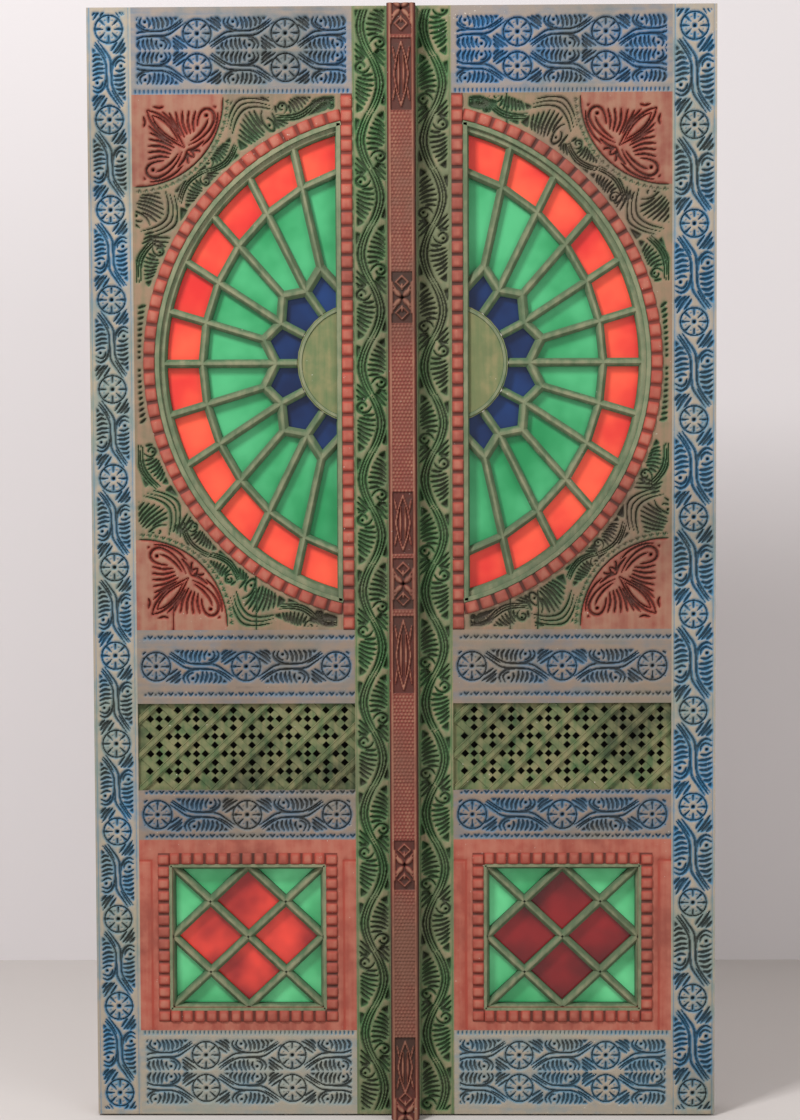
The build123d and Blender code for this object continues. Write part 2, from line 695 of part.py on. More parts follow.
# Hinges
def hinge_halves():
    """The leaf halves, each a plate with a bored knuckle, and the frame halves, each a plate with a pin."""
    axis_y = LEAF_BACK + HINGE_OFFSET
    leaf_halves, frame_halves = [], []
    for height in HINGE_HEIGHTS:
        place = Pos(HINGE_AXIS_U, axis_y, FLOOR_GAP + height)
        upper = KNUCKLE_GAP / 2 + KNUCKLE_LENGTH / 2
        lift = KNUCKLE_LENGTH / 2
        barrel = extrude(Pos(0, 0, -lift) * RegularPolygon(KNUCKLE_RADIUS, KNUCKLE_SIDES), KNUCKLE_LENGTH)
        plate = Pos(-PLATE_WIDTH / 2, PLATE_THICKNESS / 2 - HINGE_OFFSET) * Box(
            PLATE_WIDTH, PLATE_THICKNESS, KNUCKLE_LENGTH
        )
        bore = Cylinder(PIN_RADIUS + PIN_CLEARANCE, KNUCKLE_LENGTH)
        leaf_halves.append(place * Pos(0, 0, upper) * (barrel + plate - bore))
        side = Pos(PLATE_THICKNESS / 2 - JAMB_TO_AXIS, PLATE_WIDTH / 2) * Box(
            PLATE_THICKNESS, PLATE_WIDTH, KNUCKLE_LENGTH
        )
        pin = Pos(0, 0, KNUCKLE_LENGTH) * Cylinder(PIN_RADIUS, KNUCKLE_LENGTH)
        frame_halves.append(place * Pos(0, 0, -upper) * (barrel + side + pin))
    return leaf_halves, frame_halves


# Both leaves
BEAD_SEAT = REBATE - SEAT_CLEARANCE


def leaf_nodes(rosettes, lean):
    """Every piece of one leaf and of its side of the frame, drawn on the right."""
    fan_glass = fan_panes()
    window_glass = window_panes()
    leaf_halves, frame_halves = hinge_halves()
    return {
        "outer_stile": outer_stile(rosettes),
        "meeting_stile": meeting_stile(),
        "top_rail": two_row_rail(FAN_PANEL_TOP, LEAF_TOP),
        "bottom_rail": two_row_rail(FLOOR_GAP, BOTTOM_RAIL_TOP),
        "frieze_rail": one_row_rail(LATTICE_TOP, FRIEZE_RAIL_TOP, FRIEZE_MARGIN),
        "waist_rail": one_row_rail(WINDOW_PANEL_TOP, WAIST_RAIL_TOP, FIELD_MARGIN),
        "lattice": lattice(lean),
        "lattice_back": lattice_back(),
        "fan_panel": fan_panel(),
        "fan_arch_moulding": fan_arch_moulding(),
        "fan_side_moulding": fan_side_moulding(),
        "fan_tracery": fan_tracery(),
        "fan_hub": fan_hub(),
        "fan_panes_red": fan_glass["red"],
        "fan_panes_green": fan_glass["green"],
        "fan_panes_blue": fan_glass["blue"],
        "fan_back_bead": bead(seat_outline(), seat_outline(BEAD_WIDTH)),
        "window_frame": window_frame(),
        "window_moulding": window_moulding(),
        "window_tracery": window_tracery(),
        "window_panes_red": window_glass["red"],
        "window_panes_green": window_glass["green"],
        "window_back_bead": bead(window_outline(BEAD_SEAT), window_outline(REBATE - BEAD_WIDTH)),
        "leaf_hinge_halves": leaf_halves,
        "frame_hinge_halves": frame_halves,
        "jamb": jamb(),
    }


def solids_of(piece):
    """A node's solids, whether it was made as one piece or as a list of them."""
    pieces = piece if isinstance(piece, list) else [piece]
    return [solid for one in pieces for solid in one.solids()]


def write(name, piece, mirrored=False):
    """One node's STEP file."""
    whole = Compound(solids_of(piece))
    export_step(whole.mirror(Plane.YZ) if mirrored else whole, f"parts/{name}.step")


os.makedirs("parts", exist_ok=True)
for name, piece in leaf_nodes(RIGHT_STILE_ROSETTES, 1).items():
    write(f"right_{name}", piece)
for name, piece in leaf_nodes(LEFT_STILE_ROSETTES, -1).items():
    write(f"left_{name}", piece, mirrored=True)
write("centre_post", centre_post())
write("head", head())
write("sill", sill())
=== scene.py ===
"""The looks of a carved and painted double door with coloured glass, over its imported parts.

Sizes are in millimetres, as in the part's own source, and are turned into metres where a piece is placed.
X runs to the right, the carved face looks to -Y and Z is up. U is the distance from the door's centre line.
"""

from math import cos, hypot, pi, radians, sin, sqrt

import bmesh
import bpy
import numpy as np
from mathutils import Matrix, Vector


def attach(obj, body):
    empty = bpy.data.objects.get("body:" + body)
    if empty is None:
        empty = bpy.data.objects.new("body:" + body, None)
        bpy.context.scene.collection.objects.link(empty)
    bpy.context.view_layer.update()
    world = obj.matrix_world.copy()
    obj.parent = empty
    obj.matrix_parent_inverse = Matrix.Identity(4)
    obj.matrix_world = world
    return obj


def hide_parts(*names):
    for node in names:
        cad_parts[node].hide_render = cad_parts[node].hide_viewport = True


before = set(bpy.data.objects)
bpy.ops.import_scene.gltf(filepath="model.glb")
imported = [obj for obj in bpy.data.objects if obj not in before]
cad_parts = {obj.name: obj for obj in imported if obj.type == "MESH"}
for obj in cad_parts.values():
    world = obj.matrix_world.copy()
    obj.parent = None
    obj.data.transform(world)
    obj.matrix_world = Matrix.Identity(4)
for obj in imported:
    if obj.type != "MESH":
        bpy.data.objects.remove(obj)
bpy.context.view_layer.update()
METRE = 0.001

# Widths from the centre line and heights from the floor, as in the part
MEETING_EDGE = 1.5
PANEL_INNER = 97.5
PANEL_OUTER = 530.5
LEAF_OUTER = 617.5
PANEL_MIDDLE = (PANEL_INNER + PANEL_OUTER) / 2
LEAF_LOW = 4
BOTTOM_RAIL_TOP = 174
WINDOW_PANEL_TOP = 559
WAIST_RAIL_TOP = 658
LATTICE_TOP = 832
FRIEZE_RAIL_TOP = 979
FAN_PANEL_TOP = 2034
LEAF_TOP = 2204
POST_HALF = 28

# Depths
POST_FRONT = -78
LEAF_FRONT = -30
TRACERY_FRONT = -24
GLASS_FRONT = -4
PANEL_BACK = 8
LEAF_BACK = 15
MOULDING_PROUD = 6
OPENING_SLACK = 0.3

# Carving
CELL = 1.7
GROUND = 5
ROUNDING = 1.0
BLUR = 2
STROKE_SWELL = 1.18
LEAST_STROKE = 0.8
MARGIN = 11
ROSETTE_RADIUS = 28.5
ROSETTE_END = 42
ROSETTE_COUNTS = {-1: 13, 1: 12}
GAP_HALF = 58
VINE_PERIOD = 222
VINE_MARGIN = 6
TWO_ROW_STEP = 86.5
ROW_OFFSET = 33.5
ONE_ROW_STEP = 89.5

# Fan window
FAN_CENTRE_Z = (FRIEZE_RAIL_TOP + FAN_PANEL_TOP) / 2
FAN_EDGE = 119.5
FAN_RADIUS = 480
FAN_RIM_WIDTH = 14
ARCH_INNER = 490
ARCH_WIDTH = 22
FAN_MIDDLE_RADIUS = 396
FAN_SPOKES = 11
FAN_FIRST_TURN = 14
HUB_RADIUS = 117
HUB_CENTRE_U = 91
BAR_WIDTH = 17
CORNER_RADIUS = 172
ZIGZAG_END = 142
ZIGZAG_OUTER, OUTER_FALL = 192, 31
ZIGZAG_INNER, INNER_FALL = 158, 27

# Corners of the fan panel, and the green ground beside them
CORNER_INSET = 8
NOTCHES = 21
NOTCH_SWING = 0.016
NOTCH = ((11, -NOTCH_SWING), (6, 0), (11, NOTCH_SWING))
NARROW_GROUND = 26
BEND_WIDTH = 58
BEND_ROOM = 60
CRESCENT_TURNS = (12, 89)
CRACKS = {
    -1: [(-293, FRIEZE_RAIL_TOP, 1095), (-458, FRIEZE_RAIL_TOP, 1040)],
    1: [(206, 1935, FAN_PANEL_TOP), (211, FRIEZE_RAIL_TOP, 1055), (266, FRIEZE_RAIL_TOP, 1055)],
}

# Square window
WINDOW_HALF_U = 151
WINDOW_HALF_Z = 142
WINDOW_CENTRE_Z = 362
WINDOW_EDGE = 6
WINDOW_CELL = 3.5
WINDOW_SNAP = 1.8

# Toothed mouldings
TOOTH_TOP = LEAF_FRONT - MOULDING_PROUD + 0.2
TOOTH_CELL = 2.4
ARCH_PITCH = 31
SIDE_PITCH = 28.3
WINDOW_PITCH = 24.5

# Lattice
LATTICE_STEP_U = 37
LATTICE_STEP_Z = 35
LATTICE_HOLE = 8.0
LATTICE_HOLE_STEP = 17.6
LATTICE_DEPTH = 15
LATTICE_THICKNESS = 10

# Cover post, from its top down
FLOWER_DROPS = (10, 570, 1131, 1689, 2188)
FLOWER_HALF = 50
SPINDLES = ((75, 198), (957, 1064), (1203, 1339), (2043, 2146))
SCALE_PITCH = 7
PUNCHED_HALF = 20

SIDES = {-1: "left", 1: "right"}


def section(front, *half):
    """A bar's section as (aside, depth), from half of it: its other half is the mirror."""
    near = [(-aside, front + depth) for aside, depth in half]
    return near + [(-aside, depth) for aside, depth in reversed(near)]


BAR_SHOULDER = -16
BAR_PROFILE = section(0, (8.5, GLASS_FRONT), (8.5, BAR_SHOULDER), (2, TRACERY_FRONT))
RIM_PROFILE = [(-8, GLASS_FRONT), (-8, BAR_SHOULDER), (-3, TRACERY_FRONT)]
RIM_PROFILE += [(9, TRACERY_FRONT - 1), (9, GLASS_FRONT)]
HUB_PROFILE = section(TRACERY_FRONT, (4, 1), (2.5, -2.5))
FAN_EDGE_PROFILE = section(LEAF_FRONT, (5, 1), (5, -2), (3.5, -3.5))
WINDOW_EDGE_PROFILE = section(LEAF_FRONT, (3, 1), (3, -2))
LATH_PROFILE = section(0, (7, -20), (7, -24.5), (5.5, -25.5), (4.6, -24), (3.6, -25.8))
UNDER_LATH_PROFILE = section(0, (7, -20), (6, -22))


# Shader helpers
class Value:
    """A number in a material's nodes, with the usual sums."""

    def __init__(self, shader, socket):
        self.shader, self.socket = shader, socket

    def sum(self, operation, first, second):
        node = self.shader.tree.nodes.new("ShaderNodeMath")
        node.operation = operation
        for socket, item in zip(node.inputs, (first, second)):
            self.shader.feed(socket, item)
        return Value(self.shader, node.outputs[0])

    def __add__(self, other):
        return self.sum("ADD", self, other)

    def __sub__(self, other):
        return self.sum("SUBTRACT", self, other)

    def __rsub__(self, other):
        return self.sum("SUBTRACT", other, self)

    def __mul__(self, other):
        return self.sum("MULTIPLY", self, other)

    __radd__, __rmul__ = __add__, __mul__


class Shader:
    """A material under construction."""

    def __init__(self, name):
        self.material = bpy.data.materials.new(name)
        self.material.use_nodes = True
        self.tree = self.material.node_tree
        self.surface = self.tree.nodes["Principled BSDF"]

    def feed(self, socket, item):
        if isinstance(item, Value):
            self.tree.links.new(item.socket, socket)
        else:
            socket.default_value = item

    def add(self, kind, sockets=None, output=0, **settings):
        node = self.tree.nodes.new(kind)
        for name, value in settings.items():
            setattr(node, name, value)
        for name, item in (sockets or {}).items():
            self.feed(node.inputs[name], item)
        return Value(self, node.outputs[output])

    def place(self, stretch=(1, 1, 1)):
        here = self.add("ShaderNodeTexCoord", output="Object")
        return self.add("ShaderNodeMapping", {"Vector": here, "Scale": stretch})

    def noise(self, scale, detail=4, stretch=(1, 1, 1)):
        sockets = {"Vector": self.place(stretch), "Scale": scale, "Detail": detail}
        return self.add("ShaderNodeTexNoise", sockets, "Fac")

    def attribute(self, name):
        return self.add("ShaderNodeAttribute", {}, "Fac", attribute_name=name)

    def smooth(self, value, low, high):
        sockets = {"Value": value, "From Min": low, "From Max": high}
        return self.add("ShaderNodeMapRange", sockets, interpolation_type="SMOOTHSTEP")

    def mix(self, first, second, share):
        return self.add("ShaderNodeMix", {0: share, 6: first, 7: second}, 2, data_type="RGBA")

    def bump(self, height, strength, distance):
        return self.add("ShaderNodeBump", {"Height": height, "Strength": strength, "Distance": distance})

    def finish(self, sockets):
        """Feeds the surface's own sockets and gives the material."""
        for name, item in sockets.items():
            self.feed(self.surface.inputs[name], item)
        return self.material


def tone(red, green, blue):
    """A colour given as it looks on screen, 0 to 255, as the renderer wants it."""
    shares = [c / 255 for c in (red, green, blue)]
    return tuple(((c + 0.055) / 1.055) ** 2.4 if c > 10 / 255 else c / 12.92 for c in shares) + (1,)


def painted(name, bright, dull, worn, wear=0.5, upright=True, carved=True, second=None):
    """Worn paint on carved timber: bright in the cuts, dull on the face, rubbed bare on the high spots, and
    darkened in the deepest cuts by dirt and painted shade.
    """
    shader = Shader(name)
    patches = shader.noise(4, 3)
    spots = shader.noise(38, 5)
    grain = shader.noise(1, 3, (90, 90, 5) if upright else (5, 90, 90))
    height = shader.attribute("relief") if carved else 1.0
    spotted = patches + spots * 0.35
    paint = shader.mix(tone(*dull), tone(*bright), shader.smooth(spotted, 0.48, 0.86))
    vivid = tone(*bright)
    if second:
        other_bright, other_dull = second
        other = shader.mix(tone(*other_dull), tone(*other_bright), shader.smooth(spotted, 0.5, 0.95))
        paint = shader.mix(paint, other, shader.attribute("tint"))
        vivid = shader.mix(vivid, tone(*other_bright), shader.attribute("tint"))
    rubbing = patches * 0.9 + spots * 0.8 + grain * 0.5 + height * 0.8
    rubbed = shader.smooth(rubbing, 1.75 - wear * 0.5, 2.35 - wear * 0.5)
    colour = shader.mix(paint, tone(*worn), rubbed * 0.8)
    if carved:
        depth = 1.0 - height
        stained = shader.smooth(depth + (spots - 0.5) * 0.4, 0.08, 0.6)
        colour = shader.mix(colour, vivid, stained * shader.smooth(patches, 0.35, 0.7) * 0.5)
        # Dirt and painted shade: the deepest cuts, and the low sides of bars, are darkened towards the dark
        # dirt colour
        deep = shader.smooth(depth + (spots - 0.5) * 0.5, 0.4, 1.0)
        groove_dirt_and_shade = shader.smooth(patches + spots * 0.5, 0.55, 0.95) * -0.25 + 0.8
        colour = shader.mix(colour, shader.mix(paint, DIRT_AND_SHADE, groove_dirt_and_shade), deep)
    colour = shader.mix(colour, DIRT_AND_SHADE, shader.smooth(grain + spots * 0.5, 0.98, 1.25) * 0.5)
    colour = shader.mix(colour, DIRT_AND_SHADE, shader.smooth(shader.noise(2.2, 5), 0.52, 0.8) * 0.45)
    flecks = shader.smooth(shader.noise(210, 2) + patches * 0.35, 0.93, 0.99)
    colour = shader.mix(colour, tone(205, 200, 188), flecks * 0.7)
    rough = shader.smooth(spots, 0.2, 0.8) * 0.25 + 0.6
    bumps = shader.bump(grain * 0.6 + spots * 0.5, 0.55, 0.0015)
    sockets = {"Base Color": colour, "Roughness": rough, "Normal": bumps, "Specular IOR Level": 0.3}
    return shader.finish(sockets)


def glass(name, bright, deep, painted_backlight):
    """A coloured pane with a painted glow, which stands in for the pale room behind lighting it a little.
    """
    shader = Shader(name)
    cloud = shader.smooth(shader.noise(7, 3), 0.3, 0.7)
    colour = shader.mix(tone(*deep), tone(*bright), cloud)
    # Emission is painted light: each pane glows as if lit from behind
    sockets = {"Base Color": colour, "Emission Color": colour, "Emission Strength": painted_backlight, "Roughness": 0.22}
    return shader.finish({**sockets, "Normal": shader.bump(shader.noise(30, 2), 0.1, 0.001)})


# Dark colour of dirt, also used for the painted shade in the deepest cuts
DIRT_AND_SHADE = tone(30, 28, 24)
MATERIALS = {
    "blue": painted("blue_upright", (52, 118, 158), (116, 130, 124), (170, 150, 122), 0.6),
    "blue_rail": painted("blue_rail", (42, 104, 150), (100, 108, 108), (152, 132, 110), upright=False),
    "blue_foot": painted("blue_foot", (84, 126, 150), (138, 142, 132), (166, 148, 124), upright=False),
    "blue_band": painted("blue_band", (70, 108, 136), (116, 110, 98), (142, 118, 94), upright=False),
    "green": painted("green_upright", (66, 108, 64), (102, 108, 80), (150, 132, 106), 0.36),
    "panel": painted(
        "panel", (64, 102, 68), (114, 98, 82), (150, 116, 96), 0.45, second=((146, 54, 42), (126, 68, 56))
    ),
    "red": painted("red_upright", (160, 66, 52), (136, 70, 58), (172, 112, 94), 0.3),
    "red_rail": painted("red_rail", (160, 66, 52), (136, 70, 58), (172, 112, 94), 0.3, upright=False),
    "post": painted("post_red", (118, 54, 46), (112, 74, 60), (152, 112, 90), 0.45),
    "tracery": painted("tracery_olive", (60, 98, 68), (86, 100, 74), (142, 138, 110), 0.35),
    "hub": painted("hub_olive", (72, 104, 66), (116, 114, 76), (146, 132, 94), 0.1, carved=False),
    "lattice": painted("lattice_olive", (32, 100, 52), (52, 60, 40), (140, 126, 94), 0.3, carved=False),
    "timber": painted("bare_timber", (126, 96, 66), (112, 84, 58), (146, 116, 84), 0.4, carved=False),
    # The lattice's back board is coloured near black: painted shade for the dark seen through the lattice's
    # holes
    "backing": painted("backing_painted_shade", (22, 20, 16), (18, 16, 13), (30, 26, 20), 0.2, carved=False),
    "red_glass": glass("red_glass", (240, 88, 62), (206, 44, 42), 0.12),
    "green_glass": glass("green_glass", (76, 172, 116), (34, 132, 78), 0.06),
    "blue_glass": glass("blue_glass", (22, 54, 106), (12, 30, 68), 0.1),
    "dim_red_glass": glass("dim_red_glass", (226, 66, 52), (124, 24, 28), 0.14),
    "dark_red_glass": glass("dark_red_glass", (132, 24, 28), (78, 16, 20), 0.12),
    "dim_green_glass": glass("dim_green_glass", (104, 206, 142), (52, 150, 92), 0.12),
}


def iron():
    """Dark hinge iron."""
    shader = Shader("hinge_iron")
    rust = shader.mix(tone(40, 36, 33), tone(74, 58, 46), shader.noise(60))
    return shader.finish({"Base Color": rust, "Metallic": 0.7, "Roughness": 0.55})


MATERIALS["iron"] = iron()


# Carving in height maps: how a stroke's width changes along it
def taper_cut(share):
    return 0.08 + np.sin(pi * share) ** 0.5


def taper_wedge(share):
    return 0.25 + 0.75 * share


def taper_even(share):
    return np.ones_like(share)


def taper_leaf(share):
    return np.sin(np.clip(share, 0.02, 0.98) * pi) ** 0.7


class Relief:
    """A board's carved face as heights over X and Z: 0 is the face, and what is cut away lies below it."""

    def __init__(self, x_low, x_high, z_low, z_high, cell=CELL):
        self.x = np.linspace(x_low, x_high, max(2, round((x_high - x_low) / cell)) + 1)
        self.z = np.linspace(z_low, z_high, max(2, round((z_high - z_low) / cell)) + 1)
        self.rise = np.zeros((len(self.z), len(self.x)))
        self.cuts = np.zeros_like(self.rise)
        self.tint = np.zeros_like(self.rise)
        self.here = self.x[None, :] + 1j * self.z[:, None]

    def window(self, points, margin=0):
        """The part of the maps round some complex points, and its places as complex numbers."""
        xs, zs = [point.real for point in points], [point.imag for point in points]
        rows = np.searchsorted(self.z, (min(zs) - margin, max(zs) + margin))
        columns = np.searchsorted(self.x, (min(xs) - margin, max(xs) + margin))
        spot = slice(*rows), slice(*columns)
        return spot, self.here[spot]

    def line(self, points, width, height=GROUND, taper=taper_even, cut=False):
        """A rounded stroke along complex points, standing on the ground or cut into what is there."""
        count, reach = len(points) - 1, width / 2
        for number, (start, end) in enumerate(zip(points, points[1:])):
            spot, here = self.window((start, end), reach)
            step = end - start
            if here.size == 0 or abs(step) < 1e-6:
                continue
            share = np.clip(((here - start) * step.conjugate()).real / abs(step) ** 2, 0, 1)
            away = np.abs(here - start - share * step)
            half = reach * taper((number + share) / count)
            body = np.sqrt(np.clip(1 - (away / half) ** 2, 0, 1))
            if cut:
                self.cuts[spot] = np.minimum(self.cuts[spot], -height * body)
            else:
                self.rise[spot] = np.maximum(self.rise[spot], -GROUND + height * body)

    def cut(self, points, width, depth=GROUND, taper=taper_even):
        """A rounded groove along complex points."""
        self.line(points, width, depth, taper, cut=True)

    def carve(self, place, motif):
        """Cuts a motif's strokes, sunk chips and drilled eyes into the face, as a knife and gouge would."""
        strokes, chips, eyes = motif
        for width, points in strokes:
            breadth = STROKE_SWELL * width * max(LEAST_STROKE, place.scale)
            self.cut(place.path(flowing(points)), breadth, GROUND, taper_cut)
        for corners in chips:
            self.chip(place.path(corners))
        for centre, radius in eyes:
            self.dot(place.at(centre), radius * place.scale, 2 * GROUND)

    def chip(self, corners):
        """Sinks a triangle."""
        spot, here = self.window(corners)
        sides = []
        for start, end in zip(corners, corners[1:] + corners[:1]):
            step = end - start
            sides.append(((here - start) * step.conjugate()).imag / abs(step))
        inside = np.maximum(np.minimum.reduce(sides), -np.maximum.reduce(sides))
        self.cuts[spot] = np.minimum(self.cuts[spot], -np.clip(inside * 2, 0, GROUND))

    def trim(self, aside, along):
        """Leaves a border uncut, so wide at the sides and so wide at the ends."""
        outside = (self.x < self.x[0] + aside) | (self.x > self.x[-1] - aside)
        ends = (self.z < self.z[0] + along) | (self.z > self.z[-1] - along)
        self.cuts[outside | ends[:, None]] = 0

    def dot(self, centre, radius, depth=GROUND):
        """A drilled hole."""
        spot, here = self.window([centre], radius)
        sunk = depth * np.clip(1.6 * (1 - np.abs(here - centre) / radius), 0, 1)
        self.cuts[spot] = np.minimum(self.cuts[spot], -sunk)

    def height(self):
        """The finished face: each cut also rounds down what stands beside it."""
        soft = self.cuts
        reach = 2 * BLUR + 1
        for axis, size in enumerate(soft.shape):
            margins = [(BLUR, BLUR) if axis == other else (0, 0) for other in (0, 1)]
            padded = np.pad(soft, margins, mode="edge")
            soft = sum(np.take(padded, range(start, start + size), axis) for start in range(reach)) / reach
        return self.rise + self.cuts + ROUNDING * soft


class Place:
    """Where a motif goes: its own points are complex numbers in millimetres."""

    def __init__(self, centre, turn=0, scale=1, mirrored=False, stretch=1):
        self.centre, self.spin, self.mirrored = centre, scale * np.exp(1j * radians(turn)), mirrored
        self.scale, self.stretch = scale, stretch

    def at(self, point):
        point = complex(point.real * self.stretch, point.imag)
        return self.centre + self.spin * (point.conjugate() if self.mirrored else point)

    def path(self, points):
        return [self.at(point) for point in points]


class CornerPlace(Place):
    """A corner's own axes, both measured inwards along its edges."""

    def __init__(self, corner, side, way):
        super().__init__(corner)
        self.side, self.way = side, way

    def at(self, point):
        return self.centre - complex(self.side * point.real, self.way * point.imag)


def arc(centre, radius, start, end, steps=10):
    """Points round an arc, its angles in degrees."""
    turns = np.linspace(radians(start), radians(end), steps + 1)
    return [centre + radius * np.exp(1j * turn) for turn in turns]


def flowing(points, steps=4):
    """A smooth line through a few points."""
    ends = [2 * points[0] - points[1], *points, 2 * points[-1] - points[-2]]
    line = []
    for before, start, end, after in zip(ends, ends[1:], ends[2:], ends[3:]):
        for share in np.arange(steps) / steps:
            square = (2 * before - 5 * start + 4 * end - after) * share**2
            cube = (3 * start - before - 3 * end + after) * share**3
            line.append(start + ((end - before) * share + square + cube) / 2)
    return line + [points[-1]]


def moved(motif, way):
    """A motif with each of its points moved by a function."""
    strokes, chips, eyes = motif
    return [
        [(width, [way(point) for point in points]) for width, points in strokes],
        [[way(point) for point in corners] for corners in chips],
        [(way(centre), radius) for centre, radius in eyes],
    ]


def both(motif, other):
    return [first + second for first, second in zip(motif, other)]


# The leaves between two rosettes: widths and points of one half, which is repeated after half a turn
GAP_LEAVES = [
    [
        (3.2, [-21 + 64j, -9 + 47j, 2.5 + 28j, 4.6 + 0j, 6.5 - 23j, 17 - 42j, 29 - 58j]),
        (2.6, [-26 + 61j, -15 + 46j, -5 + 30j]),
        (3.4, [4 + 44j, 10 + 53j, 17 + 62j]),
        (4.0, [8 + 39j, 18 + 51j, 29 + 68j]),
        (4.2, [14 + 39j, 23 + 48j, 31 + 60j]),
        (3.8, [22 + 39j, 28 + 44j, 32 + 51j]),
        (3.6, [6 + 3j, 6.5 + 15j, 12 + 28j, 22 + 34j, 32 + 30j]),
        (3.2, [12 + 13j, 14 + 21j, 21 + 26.5j, 32 + 22j]),
        (3.4, [12 + 8j, 21 + 6j, 32 + 12j]),
        (4.2, [8.5 - 3j, 20 - 2.5j, 32 + 2j]),
        (4.4, [9 - 10.5j, 20 - 11j, 32 - 6j]),
        (4.6, [10 - 18.5j, 21 - 20j, 32 - 14.5j]),
        (4.6, [12.5 - 27j, 23 - 29.5j, 32 - 23.5j]),
        (4.2, [17 - 35.5j, 25 - 38j, 32 - 33j]),
    ],
    [[23 - 44j, 32 - 39j, 32 - 52j]],
    [(23 + 16j, 2.9)],
]
GAP_MOTIF = both(GAP_LEAVES, moved(GAP_LEAVES, lambda point: -point))

# One bend of the vine, with its leaf in the hollow side
BEND_MOTIF = [
    [
        (3.2, [6 - 58j, 19 - 30j, 26 + 0j, 19 + 30j, 6 + 58j]),
        (3.2, [-6 - 56j, 7 - 29j, 13 + 0j, 7 + 29j, -6 + 56j]),
        (2.4, [0 - 56j, 13.5 - 29j, 19.5 + 0j, 13.5 + 29j, 0 + 56j]),
        (4.6, [-28 + 2j, -14 + 11j, 5 + 15j]),
        (4.8, [-28 + 9.5j, -16 + 19j, 1 + 25j]),
        (4.6, [-28 + 17.5j, -18 + 27j, -4 + 34j]),
        (4.4, [-28 + 26j, -20 + 35j, -9 + 42j]),
        (4.8, [-28 - 5.5j, -13 + 2j, 8 + 5j]),
        (4.8, [-25 - 11.5j, -9 - 6.5j, 8.5 - 6j]),
        (4.6, [-16 - 16j, -6 - 15j, 6 - 17.5j]),
        (3.8, [1 - 34j, -6 - 24j, -16 - 20.5j, -26 - 25j, -28 - 34j, -20 - 41j, -12 - 37j, -11 - 31j]),
        (4.2, [-28 - 46j, -19 - 48j, -9 - 50j]),
        (4.2, [5 - 59j, 15 - 48j, 29 - 33j]),
        (4.4, [9 - 62j, 18 - 56j, 30 - 44j]),
        (4.0, [13 - 66j, 21 - 64j, 30 - 56j]),
    ],
    [[-28 + 36j, -12 + 49j, -27 + 58j], [30 + 8j, 30 + 44j, 20 + 40j]],
    [(-20 - 30j, 3)],
]

# Half of a red corner, measured along its two edges: the other half is its mirror across the diagonal
CORNER_LEAVES = [
    [
        (3.6, [22 + 22j, 46 + 31j, 73 + 55j, 97 + 97j]),
        (2.8, [32 + 32j, 50 + 40j, 69 + 58j, 86 + 86j]),
        (
            3.8,
            [101 + 92j, 123 + 81j, 144 + 62j, 155 + 40j, 151 + 25j]
            + [139 + 20j, 128 + 27j, 122 + 44j, 122 + 58j],
        ),
        (3.4, [106 + 84j, 124 + 70j, 138 + 52j, 143 + 38j]),
        (3.8, [115 + 66j, 113 + 46j, 118 + 24j]),
        (4.0, [108 + 69j, 103 + 47j, 105 + 22j]),
        (4.0, [102 + 72j, 93 + 49j, 92 + 23j]),
        (4.0, [96 + 76j, 84 + 50j, 79 + 25j]),
        (3.8, [89 + 73j, 76 + 48j, 66 + 27j]),
        (3.4, [76 + 54j, 65 + 38j, 52 + 25j]),
        (3.2, [34 + 15j, 45 + 18j, 56 + 16j]),
        (3.8, [104 + 100j, 118 + 95j, 134 + 82j]),
        (3.4, [130 + 93j, 147 + 75j, 159 + 50j, 163 + 24j]),
        (3.2, [100 + 100j, 110 + 102j, 115 + 115j]),
        (3.4, [106 + 104j, 120 + 101j, 127 + 104j]),
    ],
    [[160 + 14j, 150 + 14j, 158 + 22j]],
    [(139 + 33j, 3.4)],
]
CORNER_MOTIF = both(CORNER_LEAVES, moved(CORNER_LEAVES, lambda point: complex(point.imag, point.real)))


def rosette(relief, centre, radius=ROSETTE_RADIUS):
    """A flat disc in a ring groove, with eight wedge cuts, a dot between each two and a drilled middle."""
    relief.cut(arc(centre, radius - 1.5, 0, 360, 36), 3)
    for number in range(8):
        aim = radius * np.exp(1j * number * pi / 4)
        relief.cut([centre + 0.34 * aim, centre + 0.8 * aim], 4.6, GROUND, taper_wedge)
        relief.dot(centre + 0.64 * aim * np.exp(1j * pi / 8), 1.9, 3)
    relief.dot(centre, 3.9, 2 * GROUND)


def dash_row(relief, start, end, pitch=8.5, length=5):
    """A row of short cuts across a line."""
    count = int(abs(end - start) / pitch)
    for number in range(count):
        spot = start + (end - start) * (number + 0.5) / count
        across = 1j * (end - start) / abs(end - start) * length / 2
        relief.cut([spot - across, spot + across], 3.4, 3.2)


def dot_row(relief, start, end, pitch=20):
    """A row of dots with a small notch between each two."""
    count = int(abs(end - start) / pitch)
    along = (end - start) / abs(end - start)
    for number in range(count):
        spot = start + (end - start) * (number + 0.5) / count
        relief.dot(spot, 2.9, 4)
        notch = spot + along * pitch / 2
        relief.cut([notch + (-4 + 4j) * along, notch - 1j * along, notch + (4 + 4j) * along], 3.2, 4)


# Pieces
def scene_object(name, data):
    item = bpy.data.objects.new(name, data)
    bpy.context.collection.objects.link(item)
    return item


def mesh_from(name, bm):
    """A new mesh from a bmesh, which is freed."""
    mesh = bpy.data.meshes.new(name)
    bm.to_mesh(mesh)
    bm.free()
    return mesh


def piece_from(mesh, side, paint, slot, *nodes):
    """A finished mesh as a piece of one leaf."""
    piece = scene_object(mesh.name, mesh)
    mesh.materials.clear()
    mesh.materials.append(MATERIALS[paint])
    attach(piece, f"{SIDES[side]}_leaf")
    if nodes:
        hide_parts(*nodes)


def keep_for_paint(mesh, label, values):
    """Stores a number for each point of a mesh, for its material to read."""
    mesh.attributes.new(label, "FLOAT", "POINT").data.foreach_set("value", values)


